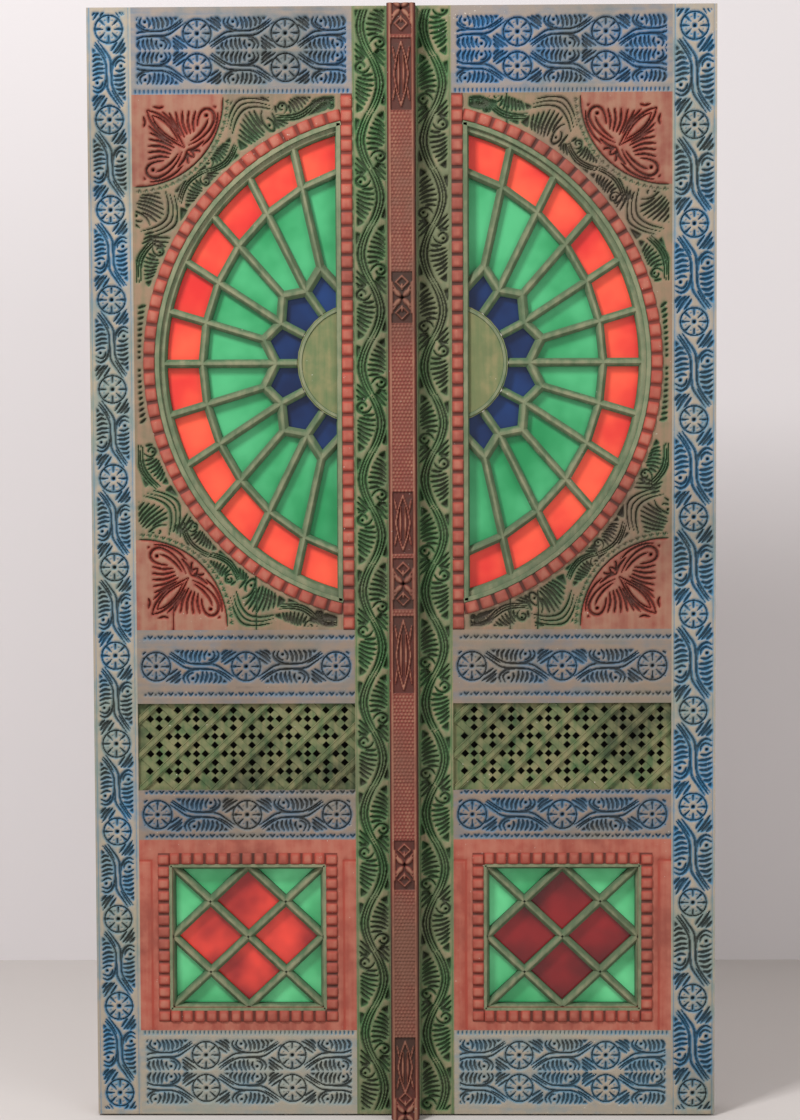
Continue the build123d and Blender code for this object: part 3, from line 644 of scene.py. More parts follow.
def relief_mesh(name, relief, where, y_back, drop=None):
    """A closed board with the relief on its front. where turns map places and heights into millimetres."""
    rows, columns = relief.rise.shape
    bm = bmesh.new()
    bmesh.ops.create_grid(bm, x_segments=columns - 1, y_segments=rows - 1, size=1)
    mesh = mesh_from(name, bm)
    height = relief.height().ravel()
    placed = where(np.tile(relief.x, rows), np.repeat(relief.z, columns), height)
    mesh.vertices.foreach_set("co", np.stack(placed, axis=1).ravel() * METRE)
    keep_for_paint(mesh, "relief", np.clip(1 + height / GROUND, 0, 1))
    keep_for_paint(mesh, "tint", relief.tint.ravel())
    bm = bmesh.new()
    bm.from_mesh(mesh)
    if drop:
        away = [face for face in bm.faces if drop(*(face.calc_center_median().xz / METRE))]
        bmesh.ops.delete(bm, geom=away, context="FACES")
    rim = [edge for edge in bm.edges if edge.is_boundary]
    grown = bmesh.ops.extrude_edge_only(bm, edges=rim)["geom"]
    for vertex in (item for item in grown if isinstance(item, bmesh.types.BMVert)):
        vertex.co.y = y_back * METRE
    back = [item for item in grown if isinstance(item, bmesh.types.BMEdge) and item.is_boundary]
    bmesh.ops.triangle_fill(bm, use_beauty=False, edges=back)
    bmesh.ops.recalc_face_normals(bm, faces=bm.faces)
    bm.to_mesh(mesh)
    bm.free()
    mesh.shade_smooth()
    mesh.set_sharp_from_angle(angle=radians(80))
    return mesh


def on_face(y_front=LEAF_FRONT):
    """Heights stand out of a flat face at one depth."""
    return lambda x, z, height: (x, y_front - height, z)


def span(side, u_low, u_high):
    """The X range of a range of U on one leaf."""
    return sorted((side * u_low, side * u_high))


def carved_piece(name, side, relief, where, y_back, paint, slot, *nodes, drop=None):
    """A carved board of one leaf, whose name and nodes are given without their side."""
    mesh = relief_mesh(f"{SIDES[side]}_{name}", relief, where, y_back, drop)
    piece_from(mesh, side, paint, slot, *(f"{SIDES[side]}_{node}" for node in nodes))


def swept(bm, path, profile):
    """A bar with a mitred profile of (aside, depth) along complex points of X and Z."""
    work = bmesh.new()
    bmesh.ops.create_grid(work, x_segments=len(profile), y_segments=len(path) - 1, size=1)
    steps = [(b - a) / abs(b - a) for a, b in zip(path, path[1:])]
    for place, vertex in enumerate(work.verts):
        number, corner = divmod(place, len(profile) + 1)
        before, after = steps[max(0, number - 1)], steps[min(len(steps) - 1, number)]
        mid = (before + after) / abs(before + after)
        mitre = 1j * mid / max(0.4, (mid / after).real)
        aside, depth = profile[corner % len(profile)]
        spot = path[number] + mitre * aside
        vertex.co = Vector((spot.real, depth, spot.imag)) * METRE
    bmesh.ops.remove_doubles(work, verts=work.verts, dist=1e-7)
    bmesh.ops.holes_fill(work, edges=[edge for edge in work.edges if edge.is_boundary], sides=0)
    mesh = mesh_from("bar", work)
    bm.from_mesh(mesh)
    bpy.data.meshes.remove(mesh)


def bars_piece(name, side, bars, y_low, y_high, slot, *nodes):
    """Bars as a piece of one leaf, with how far each point stands out kept for the paint."""
    bmesh.ops.recalc_face_normals(bars, faces=bars.faces)
    mesh = mesh_from(f"{SIDES[side]}_{name}", bars)
    flat = np.empty(3 * len(mesh.vertices))
    mesh.vertices.foreach_get("co", flat)
    # How far each point stands out: the paint rubs the high parts bare and puts painted shade on the low
    # sides near the glass
    stand = (y_low - flat[1::3] / METRE) / (y_low - y_high)
    keep_for_paint(mesh, "relief", np.clip(stand, 0, 1))
    piece_from(mesh, side, "tracery", slot, *(f"{SIDES[side]}_{node}" for node in nodes))


# Stiles
def border_lines(relief, *places):
    """Thin upright lines along a stile."""
    for x in places:
        relief.cut([complex(x, LEAF_LOW), complex(x, LEAF_TOP)], 2.2, 1.5)


def outer_stile(side):
    """Rosettes one above the other, with leaves between."""
    count = ROSETTE_COUNTS[side]
    relief = Relief(*span(side, PANEL_OUTER, LEAF_OUTER), LEAF_LOW, LEAF_TOP)
    middle = side * (PANEL_OUTER + LEAF_OUTER) / 2
    pitch = (LEAF_TOP - LEAF_LOW - 2 * ROSETTE_END) / (count - 1)
    scale = (pitch - 2 * ROSETTE_RADIUS) / (2 * GAP_HALF)
    first = LEAF_LOW + ROSETTE_END
    for number in range(count + 1):
        relief.carve(Place(complex(middle, first + (number - 0.5) * pitch), 0, scale), GAP_MOTIF)
    relief.trim(0, 10)
    for number in range(count):
        rosette(relief, complex(middle, first + number * pitch))
    border_lines(relief, relief.x[0] + MARGIN / 2, relief.x[-1] - MARGIN / 2)
    look = ["blue", "blue_paint", "outer_stile"]
    carved_piece("rosette_stile", side, relief, on_face(), LEAF_BACK, *look)


def meeting_stile(side):
    """A vine beside the cover post, its bends turned left and right in turn."""
    relief = Relief(*span(side, MEETING_EDGE, PANEL_INNER), LEAF_LOW, LEAF_TOP)
    edge = POST_HALF + 3
    middle = side * (edge + PANEL_INNER - VINE_MARGIN) / 2
    for number in range(int(2 * LEAF_TOP / VINE_PERIOD) + 1):
        spot = complex(middle, (number + 0.5) * VINE_PERIOD / 2)
        relief.carve(Place(spot, 180 * (number % 2), 1, side < 0), BEND_MOTIF)
    relief.trim(0, 8)
    border_lines(relief, side * edge, side * (PANEL_INNER - VINE_MARGIN + 2))
    look = ["green", "stile_green_paint", "meeting_stile"]
    carved_piece("vine_stile", side, relief, on_face(), LEAF_BACK, *look)


# Rails
def rail_relief(side, z_low, z_high):
    """A rail's relief, and the middle of its face."""
    relief = Relief(*span(side, PANEL_INNER, PANEL_OUTER), z_low, z_high)
    return relief, complex(side * PANEL_MIDDLE, (z_low + z_high) / 2)


def row_ends(relief, inset, z):
    return complex(relief.x[0] + inset, z), complex(relief.x[-1] - inset, z)


def rail_piece(side, name, relief):
    paint = {"top_rail": "blue_rail", "bottom_rail": "blue_foot"}.get(name, "blue_band")
    carved_piece(f"{name}_carved", side, relief, on_face(), LEAF_BACK, paint, "blue_paint", name)


def two_row_rail(side, name, z_low, z_high, dashes_z):
    relief, middle = rail_relief(side, z_low, z_high)
    for way in (1, -1):
        for place in (-1, 0, 1):
            spot = middle + complex(place * 2 * TWO_ROW_STEP, way * ROW_OFFSET)
            relief.carve(Place(spot, 90, 1, way < 0), GAP_MOTIF)
    relief.trim(MARGIN, 8)
    for way in (1, -1):
        for place in (-1, 1):
            rosette(relief, middle + complex(place * TWO_ROW_STEP, way * ROW_OFFSET), 29)
    dash_row(relief, *row_ends(relief, 4, dashes_z))
    rail_piece(side, name, relief)


def one_row_rail(side, name, z_low, z_high, margin):
    relief, middle = rail_relief(side, z_low, z_high)
    for place in (-3, -1, 1, 3):
        relief.carve(Place(middle + place * ONE_ROW_STEP, 90, 1.04, place < 0), GAP_MOTIF)
    relief.trim(MARGIN, margin)
    for place in (-2, 0, 2):
        rosette(relief, middle + place * ONE_ROW_STEP, 30)
    for row in (z_low + margin / 2, z_high - margin / 2):
        dot_row(relief, *row_ends(relief, 6, row))
    rail_piece(side, name, relief)


# Fan panel
def corner_carving(relief, side, way):
    """A red quarter circle: a leaf on its diagonal, two scrolls, a bud and a double border with notches."""
    z = FAN_PANEL_TOP - CORNER_INSET if way > 0 else FRIEZE_RAIL_TOP + CORNER_INSET
    corner = complex(side * (PANEL_OUTER - CORNER_INSET), z)
    away = np.abs(relief.here - corner)
    relief.tint[away < CORNER_RADIUS] = 1
    relief.cuts[away < CORNER_RADIUS + 15] = 0
    place = CornerPlace(corner, side, way)
    relief.carve(place, CORNER_MOTIF)
    relief.cut(place.path(arc(0, CORNER_RADIUS, 0, 90, 24)), 3.2, 4)
    for number in range(NOTCHES):
        turn = radians(2 + 86 * number / (NOTCHES - 1))
        notch = [(CORNER_RADIUS + rise) * np.exp(1j * (turn + swing)) for rise, swing in NOTCH]
        relief.cut(place.path(notch), 2.6, 3)
        relief.dot(place.at((CORNER_RADIUS + 9) * np.exp(1j * (turn + 2 * NOTCH_SWING))), 1.6, 3)


def crescent_limit(turn):
    """How far the green ground reaches from the fan's centre at an angle from upright, in radians."""
    half_height = (FAN_PANEL_TOP - FRIEZE_RAIL_TOP) / 2
    reach = min((half_height - 7) / max(cos(turn), 0.01), (PANEL_OUTER - 7) / max(sin(turn), 0.01))
    corner = complex(PANEL_OUTER - CORNER_INSET, half_height - CORNER_INSET)
    along = corner.real * sin(turn) + corner.imag * cos(turn)
    clear = (CORNER_RADIUS + 12) ** 2 - abs(corner) ** 2 + along**2
    return min(reach, along - sqrt(clear)) if clear > 0 else reach


def crescent_carving(relief, side, way):
    """The vine on the green ground between the arch and a corner, as large as it leaves room for."""
    ground = ARCH_INNER + ARCH_WIDTH + 5
    turn, end = (radians(turn) for turn in CRESCENT_TURNS)
    number = 0
    while turn < end:
        room = crescent_limit(turn) - ground
        middle = ground + room / 2
        outward = complex(side * sin(turn), way * cos(turn))
        spot = complex(0, FAN_CENTRE_Z) + middle * outward
        if room < NARROW_GROUND:
            lean = outward * (0.36 + 0.2j) * room
            relief.cut([spot - lean, spot + lean], 5, GROUND, taper_cut)
            turn += 11 / ground
            continue
        scale = min(0.85, room / BEND_WIDTH)
        stretch = max(0.5, room / BEND_ROOM / scale)
        heading = np.degrees(np.angle(outward)) + 180 * (number % 2)
        relief.carve(Place(spot, heading, scale, stretch=stretch), BEND_MOTIF)
        turn += VINE_PERIOD / 2 * scale / middle
        number += 1


def fan_panel(side):
    """The board round the fan window: green ground with a vine, red corners and a few cracks."""
    relief = Relief(*span(side, PANEL_INNER, PANEL_OUTER), FRIEZE_RAIL_TOP, FAN_PANEL_TOP)
    for way in (1, -1):
        crescent_carving(relief, side, way)
        corner_carving(relief, side, way)
    u, z = np.abs(relief.here.real), relief.here.imag
    ground = (u > FAN_EDGE + 12) & (np.abs(relief.here - 1j * FAN_CENTRE_Z) > ARCH_INNER + ARCH_WIDTH + 4)
    inside = (u < PANEL_OUTER - 6) & (z < FAN_PANEL_TOP - 6) & (z > FRIEZE_RAIL_TOP + 6)
    relief.cuts[~(ground & inside)] = 0
    for x, z_low, z_high in CRACKS[side]:
        relief.cut([complex(x, z_low), complex(x + 1, (z_low + z_high) / 2), complex(x, z_high)], 2.6, 4)

    def where(x, z, height):
        away = np.hypot(x, z - FAN_CENTRE_Z)
        near = (np.abs(away - FAN_RADIUS) < 0.7 * CELL) & (np.abs(x) > FAN_EDGE)
        pull = np.where(near, FAN_RADIUS / np.maximum(away, 1), 1)
        return x * pull, LEAF_FRONT - height, FAN_CENTRE_Z + (z - FAN_CENTRE_Z) * pull

    def opening(x, z):
        return hypot(x, z - FAN_CENTRE_Z) < FAN_RADIUS - OPENING_SLACK and abs(x) > FAN_EDGE

    look = ["panel", "panel_green_paint", "fan_panel"]
    carved_piece("fan_board", side, relief, where, PANEL_BACK, *look, drop=opening)


# Toothed mouldings
def pillow_strip(length, width, pitch):
    """A strip of rounded teeth, along X and across Z of its own map."""
    relief = Relief(0, length, 0, width, TOOTH_CELL)
    count = max(1, round(length / pitch))
    part = (relief.x[None, :] / length * count) % 1
    across = np.abs(2 * relief.z[:, None] / width - 1)
    tooth = np.clip(1 - np.abs((part - 0.46) / 0.4) ** 4, 0, 1) ** 0.6 * (1 - 0.45 * across**3)
    relief.rise = np.broadcast_to(-GROUND * (1 - tooth), relief.rise.shape).copy()
    return relief


def toothed(name, side, relief, where, paint, *nodes):
    carved_piece(name, side, relief, where, LEAF_FRONT, paint, "red_paint", *nodes)


def on_fan(side, points, centre_u=0):
    """Points measured from the fan's centre or from its hub's, where one leaf has them."""
    return [complex(side * (centre_u + point.real), FAN_CENTRE_Z + point.imag) for point in points]


def edge_turn(radius, centre_u=0):
    """The angle in degrees at which a circle meets the fan's straight edge."""
    return np.degrees(np.arccos((FAN_EDGE - centre_u) / radius))


def fan_mouldings(side):
    """The teeth round the fan's arch and up its side, and the olive edge inside them."""
    middle = ARCH_INNER + ARCH_WIDTH / 2
    first = np.arcsin(FAN_EDGE / middle)
    arch = pillow_strip((pi - 2 * first) * middle, ARCH_WIDTH, ARCH_PITCH)

    def round_arch(along, across, height):
        turn, radius = first + along / middle, ARCH_INNER + across
        x, z = radius * np.sin(turn), radius * np.cos(turn)
        return side * np.maximum(x, FAN_EDGE), TOOTH_TOP - height, FAN_CENTRE_Z + z

    toothed("arch_teeth", side, arch, round_arch, "red", "fan_arch_moulding")
    strip = pillow_strip(FAN_PANEL_TOP - FRIEZE_RAIL_TOP, FAN_EDGE - PANEL_INNER, SIDE_PITCH)

    def upright(along, across, height):
        return side * (PANEL_INNER + across), TOOTH_TOP - height, FRIEZE_RAIL_TOP + along

    toothed("side_teeth", side, strip, upright, "red", "fan_side_moulding")
    radius = FAN_RADIUS + 4.8
    start = edge_turn(radius)
    reach = sqrt(radius**2 - FAN_EDGE**2)
    edge = bmesh.new()
    swept(edge, on_fan(side, arc(0, radius, start, -start, 90)), FAN_EDGE_PROFILE)
    swept(edge, on_fan(side, [complex(FAN_EDGE + 5, way * reach) for way in (-1, 1)]), FAN_EDGE_PROFILE)
    bars_piece("fan_olive_edge", side, edge, LEAF_FRONT + 1, LEAF_FRONT - 3.5, "tracery_paint")


# Fan tracery
def ring_point(number, radius):
    """Where a spoke's line meets a circle about the fan's centre."""
    turn = radians(FAN_FIRST_TURN + number * (180 - 2 * FAN_FIRST_TURN) / (FAN_SPOKES + 1))
    if number in (0, FAN_SPOKES + 1):
        way = 1 if number == 0 else -1
        return complex(FAN_EDGE, way * sqrt(radius**2 - FAN_EDGE**2))
    aim = complex(FAN_RADIUS * sin(turn) - FAN_EDGE, FAN_RADIUS * cos(turn))
    step = aim / abs(aim)
    half = FAN_EDGE * step.real
    return FAN_EDGE + (sqrt(half**2 + radius**2 - FAN_EDGE**2) - half) * step


def zigzag_point(number):
    """A corner of the zigzag about the hub, which draws in towards its middle."""
    last = FAN_SPOKES + 1
    if number in (0, last):
        return complex(FAN_EDGE, ZIGZAG_END if number == 0 else -ZIGZAG_END)
    rank = min(number, last - number)
    start, fall, first = (ZIGZAG_OUTER, OUTER_FALL, 1) if rank % 2 else (ZIGZAG_INNER, INNER_FALL, 2)
    reach = start - (rank - first) / 4 * fall
    aim = ring_point(number, FAN_RADIUS) - FAN_EDGE
    return FAN_EDGE + reach * aim / abs(aim)


def fan_tracery(side):
    """The fan's ridged bars: rim, straight edge, middle ring, zigzag and spokes, and the hub's rim."""
    bars = bmesh.new()

    def bar(points, width=BAR_WIDTH, lower=0):
        """A ridged bar, its top lower than the others' by a hair where it crosses them."""
        share = width / BAR_WIDTH
        profile = [(aside * share, min(GLASS_FRONT, depth + lower)) for aside, depth in BAR_PROFILE]
        swept(bars, on_fan(side, points), profile)

    numbers = range(FAN_SPOKES + 2)
    rim = FAN_RADIUS - FAN_RIM_WIDTH / 2 + 1
    start = edge_turn(rim) + 0.9
    rim_section = [(side * aside, depth) for aside, depth in RIM_PROFILE]
    swept(bars, on_fan(side, arc(0, rim, start, -start, 90)), rim_section)
    reach = sqrt(rim**2 - FAN_EDGE**2)
    bar([complex(FAN_EDGE + 5, -reach), complex(FAN_EDGE + 5, reach)], 14, 0.7)
    bar([ring_point(number, FAN_MIDDLE_RADIUS) for number in numbers], lower=0.4)
    bar([zigzag_point(number) for number in numbers], 20, 0.4)
    for number in range(1, FAN_SPOKES + 1):
        bar([zigzag_point(number), ring_point(number, FAN_RADIUS - 4)])
        if number % 2 == 0:
            aim = zigzag_point(number) - HUB_CENTRE_U
            bar([HUB_CENTRE_U + (HUB_RADIUS + 1) * aim / abs(aim), zigzag_point(number)], 18, 0.8)
    bars_piece("fan_bars", side, bars, GLASS_FRONT, TRACERY_FRONT, "tracery_paint", "fan_tracery")
    radius = HUB_RADIUS - 6
    start = edge_turn(radius, HUB_CENTRE_U)
    rim = bmesh.new()
    swept(rim, on_fan(side, arc(0, radius, start, -start, 40), HUB_CENTRE_U), HUB_PROFILE)
    bars_piece("hub_rim", side, rim, TRACERY_FRONT + 1, TRACERY_FRONT - 2.5, "hub_paint")


# Square window
def window_board(side, centre):
    """The red board round the window, with the joints of its own frame cut in."""
    relief = Relief(*span(side, PANEL_INNER, PANEL_OUTER), BOTTOM_RAIL_TOP, WINDOW_PANEL_TOP, WINDOW_CELL)
    joint = WINDOW_CENTRE_Z + WINDOW_HALF_Z + 12
    for way in (1, -1):
        x = centre.real + way * (WINDOW_HALF_U + 40)
        relief.cut([complex(x, BOTTOM_RAIL_TOP), complex(x, joint)], 3.6, 2.5)
        relief.cut([complex(x, joint), complex(centre.real + way * PANEL_MIDDLE, joint)], 3.6, 2.5)

    def where(x, z, height):
        half_u, half_z = WINDOW_HALF_U, WINDOW_HALF_Z
        du, dz = x - centre.real, z - centre.imag
        near_u = (np.abs(np.abs(du) - half_u) < WINDOW_SNAP) & (np.abs(dz) < half_z + WINDOW_SNAP)
        near_z = (np.abs(np.abs(dz) - half_z) < WINDOW_SNAP) & (np.abs(du) < half_u + WINDOW_SNAP)
        du = np.where(near_u, np.sign(du) * half_u, du)
        dz = np.where(near_z, np.sign(dz) * half_z, dz)
        return centre.real + du, LEAF_FRONT - height, centre.imag + dz

    def opening(x, z):
        du, dz = abs(x - centre.real), abs(z - centre.imag)
        return du < WINDOW_HALF_U - OPENING_SLACK and dz < WINDOW_HALF_Z - OPENING_SLACK

    look = ["red", "red_paint", "window_frame"]
    carved_piece("window_board", side, relief, where, PANEL_BACK, *look, drop=opening)


def window_teeth(side, centre):
    """The window's toothed moulding as four strips."""
    half_u, half_z = WINDOW_HALF_U + WINDOW_EDGE, WINDOW_HALF_Z + WINDOW_EDGE
    for way in (1, -1):
        strip = pillow_strip(2 * (half_z + ARCH_WIDTH), ARCH_WIDTH, WINDOW_PITCH)

        def upright(along, across, height, way=way):
            x = centre.real + way * (half_u + across)
            return x, TOOTH_TOP - height, centre.imag - half_z - ARCH_WIDTH + along

        nodes = ["window_moulding"] if way > 0 else []
        toothed(f"window_teeth_side_{way + 1}", side, strip, upright, "red", *nodes)
        strip = pillow_strip(2 * half_u, ARCH_WIDTH, WINDOW_PITCH)

        def level(along, across, height, way=way):
            return centre.real - half_u + along, TOOTH_TOP - height, centre.imag + way * (half_z + across)

        toothed(f"window_teeth_level_{way + 1}", side, strip, level, "red_rail")


def box_corners(centre, half_u, half_z):
    return [centre + complex(a * half_u, b * half_z) for a, b in ((-1, -1), (1, -1), (1, 1), (-1, 1))]


def window_bars(side, centre):
    """The window's olive edge, and its bars: a cross of diagonals, a diamond and a thin border."""
    edge = bmesh.new()
    corners = box_corners(centre, WINDOW_HALF_U + 3, WINDOW_HALF_Z + 3)
    for number in range(4):
        swept(edge, [corners[number], corners[(number + 1) % 4]], WINDOW_EDGE_PROFILE)
    bars_piece("window_olive_edge", side, edge, LEAF_FRONT + 1, LEAF_FRONT - 2, "tracery_paint")
    bars = bmesh.new()
    corners = box_corners(centre, WINDOW_HALF_U, WINDOW_HALF_Z)
    middles = [(corners[number] + corners[(number + 1) % 4]) / 2 for number in range(4)]
    thin = [(aside * 0.7, depth) for aside, depth in BAR_PROFILE]
    for number in range(2):
        swept(bars, [corners[number], corners[number + 2]], BAR_PROFILE)
    for number in range(4):
        swept(bars, [middles[number], middles[(number + 1) % 4]], BAR_PROFILE)
        swept(bars, [corners[number], corners[(number + 1) % 4]], thin)
    bars_piece("window_bars", side, bars, GLASS_FRONT, TRACERY_FRONT, "tracery_paint", "window_tracery")


def window_pieces(side):
    centre = complex(side * PANEL_MIDDLE, WINDOW_CENTRE_Z)
    window_board(side, centre)
    window_teeth(side, centre)
    window_bars(side, centre)


# Lattice
def pierced_board(label, middle, x_low, x_high):
    """The board under the laths, with groups of five square holes in every second cell."""
    outline = bpy.data.curves.new(f"{label}_lattice_outline", "CURVE")
    outline.dimensions, outline.fill_mode = "2D", "BOTH"
    outline.extrude = LATTICE_THICKNESS / 2 * METRE

    def loop(points):
        spline = outline.splines.new("POLY")
        spline.points.add(len(points) - 1)
        spline.use_cyclic_u = True
        for point, spot in zip(spline.points, points):
            point.co = (spot.real * METRE, spot.imag * METRE, 0, 1)

    half = complex(x_high - x_low, LATTICE_TOP - WAIST_RAIL_TOP) / 2
    loop(box_corners(complex(x_low, WAIST_RAIL_TOP) + half, half.real, half.imag))
    keep = LATTICE_HOLE + 0.6
    for i in range(-8, 9):
        for j in range(-4, 5):
            if (i + j) % 2:
                continue
            group = middle + complex(i * LATTICE_STEP_U, j * LATTICE_STEP_Z)
            for step in (0, 1, -1, 1j, -1j):
                hole = group + LATTICE_HOLE_STEP * step
                clear_u = x_low + keep < hole.real < x_high - keep
                if clear_u and WAIST_RAIL_TOP + keep < hole.imag < LATTICE_TOP - keep:
                    loop([hole + LATTICE_HOLE * way for way in (1, 1j, -1, -1j)])
    holder = scene_object("lattice_holder", outline)
    bpy.context.view_layer.update()
    mesh = bpy.data.meshes.new_from_object(holder.evaluated_get(bpy.context.evaluated_depsgraph_get()))
    bpy.data.objects.remove(holder)
    board = bmesh.new()
    board.from_mesh(mesh)
    bmesh.ops.rotate(board, verts=board.verts, cent=(0, 0, 0), matrix=Matrix.Rotation(radians(90), 3, "X"))
    bmesh.ops.translate(board, verts=board.verts, vec=(0, -LATTICE_DEPTH * METRE, 0))
    return board


def crossed_laths(middle, x_low, x_high):
    """Two layers of laths on the diagonals, cut off at the lattice's edges."""
    laths = bmesh.new()
    reach = 4 * complex(LATTICE_STEP_U, LATTICE_STEP_Z)
    across = reach.conjugate()
    for i in range(-9, 10):
        centre = middle + (2 * i + 1) * LATTICE_STEP_U
        swept(laths, [centre - reach, centre + reach], LATH_PROFILE)
        swept(laths, [centre - across, centre + across], UNDER_LATH_PROFILE)
    limits = (
        ((x_low, 0, 0), (-1, 0, 0)),
        ((x_high, 0, 0), (1, 0, 0)),
        ((0, 0, WAIST_RAIL_TOP), (0, 0, -1)),
        ((0, 0, LATTICE_TOP), (0, 0, 1)),
    )
    for point, outward in limits:
        geometry = list(laths.verts) + list(laths.edges) + list(laths.faces)
        point = Vector(point) * METRE
        bmesh.ops.bisect_plane(laths, geom=geometry, plane_co=point, plane_no=outward, clear_outer=True)
        bmesh.ops.holes_fill(laths, edges=[edge for edge in laths.edges if edge.is_boundary], sides=0)
    return laths


def lattice_board(side):
    label = SIDES[side]
    x_low, x_high = span(side, PANEL_INNER, PANEL_OUTER)
    middle = complex(side * PANEL_MIDDLE + 10, (WAIST_RAIL_TOP + LATTICE_TOP) / 2 + 20)
    board = pierced_board(label, middle, x_low, x_high)
    laths = crossed_laths(middle, x_low, x_high)
    whole = mesh_from(f"{label}_lattice_board", laths)
    board.from_mesh(whole)
    bmesh.ops.recalc_face_normals(board, faces=board.faces)
    board.to_mesh(whole)
    board.free()
    piece_from(whole, side, "lattice", "lattice_paint", f"{label}_lattice")


# Cover post
def post_ground(relief):
    """Punched scales along the post, and sunk places for its flowers and spindles."""
    x, z = relief.x[None, :], relief.z[:, None]
    half = SCALE_PITCH / 2
    row = np.floor(z / SCALE_PITCH)
    scale = np.hypot(((x + half * (row % 2)) % SCALE_PITCH - half) / half, (z % SCALE_PITCH - 3) / 4)
    punched = -3.2 * np.clip(scale - 0.15, 0, 1)
    relief.rise = np.where(np.abs(x) < PUNCHED_HALF, punched, 0) * np.ones_like(relief.rise)
    calm = [(drop - FLOWER_HALF, drop + FLOWER_HALF) for drop in FLOWER_DROPS]
    calm += [(high - 8, low + 8) for high, low in SPINDLES]
    for high, low in calm:
        corners = complex(-PUNCHED_HALF, LEAF_TOP - low), complex(PUNCHED_HALF, LEAF_TOP - high)
        relief.rise[relief.window(corners)[0]] = -GROUND
    relief.cuts += -4 * np.clip((np.abs(x) - 24) / 4, 0, 1) * np.ones_like(relief.rise)


def cover_post():
    """The post over the joint of the leaves, which the left leaf carries."""
    relief = Relief(-POST_HALF, POST_HALF, LEAF_LOW, LEAF_TOP)
    post_ground(relief)

    def leaf(points, width=4):
        relief.line(points, width, taper=taper_leaf)

    for drop in FLOWER_DROPS:
        centre = complex(0, LEAF_TOP - drop)
        for turn in (45, 135, 225, 315):
            aim = np.exp(1j * radians(turn))
            leaf([centre + 3 * aim, centre + 23 * aim], 11)
        relief.dot(centre, 3.5, 2 * GROUND)
        for way in (1, -1):
            top = centre + way * 42j
            relief.line([top, top + 12 - way * 12j, top - way * 24j, top - 12 - way * 12j, top], 3.4)
            leaf([centre + way * 28j, centre + way * 14j], 5)
            leaf([centre - 18 + way * 26j, centre - 8 + way * 8j])
            leaf([centre + 18 + way * 26j, centre + 8 + way * 8j])
            relief.line([centre + way * 19 - 30j, centre + way * 19 + 30j], 3)
    for high, low in SPINDLES:
        top, foot = complex(0, LEAF_TOP - high), complex(0, LEAF_TOP - low)
        middle, up = (top + foot) / 2, top - foot
        for way in (1, -1):
            bulge = [middle + way * 9 + 0.25 * up, middle + way * 14, middle + way * 9 - 0.25 * up]
            relief.line([top, *bulge, foot], 3.6)
            leaf([middle + way * 4 + 0.3 * up, middle + way * 5, middle + way * 4 - 0.3 * up], 5)
            leaf([middle + way * 16 + 0.42 * up, middle + way * 12 + 0.2 * up])
            leaf([middle + way * 16 - 0.42 * up, middle + way * 12 - 0.2 * up])
    mesh = relief_mesh("cover_post_carved", relief, on_face(POST_FRONT), LEAF_FRONT - 1)
    piece_from(mesh, -1, "post", "post_paint", "centre_post")


for side in SIDES:
    outer_stile(side)
    meeting_stile(side)
    two_row_rail(side, "top_rail", FAN_PANEL_TOP, LEAF_TOP, FAN_PANEL_TOP + 5.5)
    two_row_rail(side, "bottom_rail", LEAF_LOW, BOTTOM_RAIL_TOP, BOTTOM_RAIL_TOP - 5.5)
    one_row_rail(side, "frieze_rail", LATTICE_TOP, FRIEZE_RAIL_TOP, 34)
    one_row_rail(side, "waist_rail", WINDOW_PANEL_TOP, WAIST_RAIL_TOP, MARGIN)
    fan_panel(side)
    fan_mouldings(side)
    fan_tracery(side)
    window_pieces(side)
    lattice_board(side)
cover_post()

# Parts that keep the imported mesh
KEPT = {
    "fan_hub": "hub",
    "lattice_back": "backing",
    "fan_panes_red": "red_glass",
    "fan_panes_green": "green_glass",
    "fan_panes_blue": "blue_glass",
    "window_panes_green": "dim_green_glass",
    "fan_back_bead": "timber",
    "window_back_bead": "timber",
    "leaf_hinge_halves": "iron",
    "frame_hinge_halves": "iron",
    "jamb": "timber",
}
kept = {f"{label}_{node}": material for label in SIDES.values() for node, material in KEPT.items()}
kept.update(left_window_panes_red="dim_red_glass", right_window_panes_red="dark_red_glass")
kept.update(head="timber", sill="timber")
for node, material in kept.items():
    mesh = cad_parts[node].data
    mesh.materials.clear()
    mesh.materials.append(MATERIALS[material])


# Studio
def plain(name, colour):
    shader = Shader(name)
    shader.finish({"Base Color": tone(*colour), "Roughness": 0.8})
    return shader


def clear_behind(shader):
    """Makes a surface clear from behind, so that the door's back can be seen past the wall."""
    solid = Value(shader, shader.surface.outputs[0])
    clear = shader.add("ShaderNodeBsdfTransparent")
    behind = shader.add("ShaderNodeNewGeometry", output="Backfacing")
    blend = shader.add("ShaderNodeMixShader", {0: behind, 1: solid, 2: clear})
    shader.feed(shader.tree.nodes["Material Output"].inputs["Surface"], blend)
    return shader


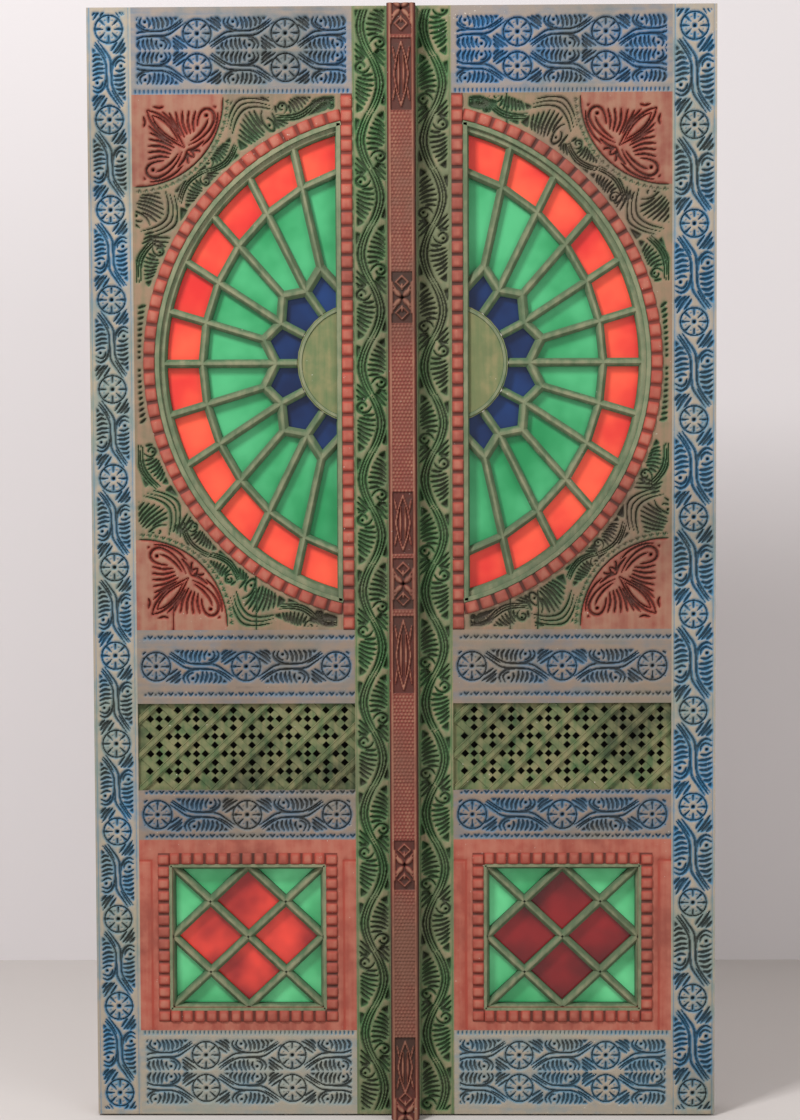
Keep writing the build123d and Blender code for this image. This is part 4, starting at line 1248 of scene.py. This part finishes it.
def stage_plane(name, place, turn, material):
    bm = bmesh.new()
    bmesh.ops.create_grid(bm, x_segments=1, y_segments=1, size=STAGE_SIZE)
    mesh = mesh_from(name, bm)
    mesh.materials.append(material)
    plane = scene_object(name, mesh)
    plane.location, plane.rotation_euler = place, turn


def area_light(name, place, size, power):
    data = bpy.data.lights.new(name, "AREA")
    data.size, data.energy = size, power
    light = scene_object(name, data)
    light.location = place
    light.rotation_euler = (Vector(LIGHT_AIM) - Vector(place)).to_track_quat("-Z", "Y").to_euler()


WALL_Y = 1.5
STAGE_SIZE = 6
LIGHT_AIM = (0, 0, 1.1)
floor, wall = plain("floor_pale", (203, 197, 194)), clear_behind(plain("wall_pale", (222, 217, 219)))
stage_plane("floor", (0, 0, 0), (0, 0, 0), floor.material)
stage_plane("wall", (0, WALL_Y, 0), (radians(90), 0, 0), wall.material)
area_light("key", (-1.8, -2.9, 4.3), 0.9, 185)
area_light("fill", (2.4, -3.8, 2.6), 2.2, 48)

world = bpy.data.worlds.new("studio")
world.use_nodes = True
sky = world.node_tree.nodes["Background"]
sky.inputs["Color"].default_value = (1, 0.985, 0.955, 1)
sky.inputs["Strength"].default_value = 0.55
bpy.context.scene.world = world

# Camera, from a fit to the photograph
CAMERA_PLACE = (0.099, -5.692, 1.487)
CAMERA_YAW = 0.0187
CAMERA_PITCH = -0.0652
CAMERA_ROLL = 0.0044
FOCAL_WIDTHS = 3.582
lens = bpy.data.cameras.new("camera")
lens.sensor_fit = "HORIZONTAL"
lens.sensor_width = 36
lens.lens = FOCAL_WIDTHS * lens.sensor_width
camera = scene_object("camera", lens)
turns = ((CAMERA_YAW, "Z"), (CAMERA_PITCH, "X"), (CAMERA_ROLL, "Y"), (radians(90), "X"))
camera.matrix_world = Matrix.Translation(CAMERA_PLACE)
for turn, axis in turns:
    camera.matrix_world = camera.matrix_world @ Matrix.Rotation(turn, 4, axis)
bpy.context.scene.camera = camera
bpy.context.scene.view_settings.view_transform = "Standard"
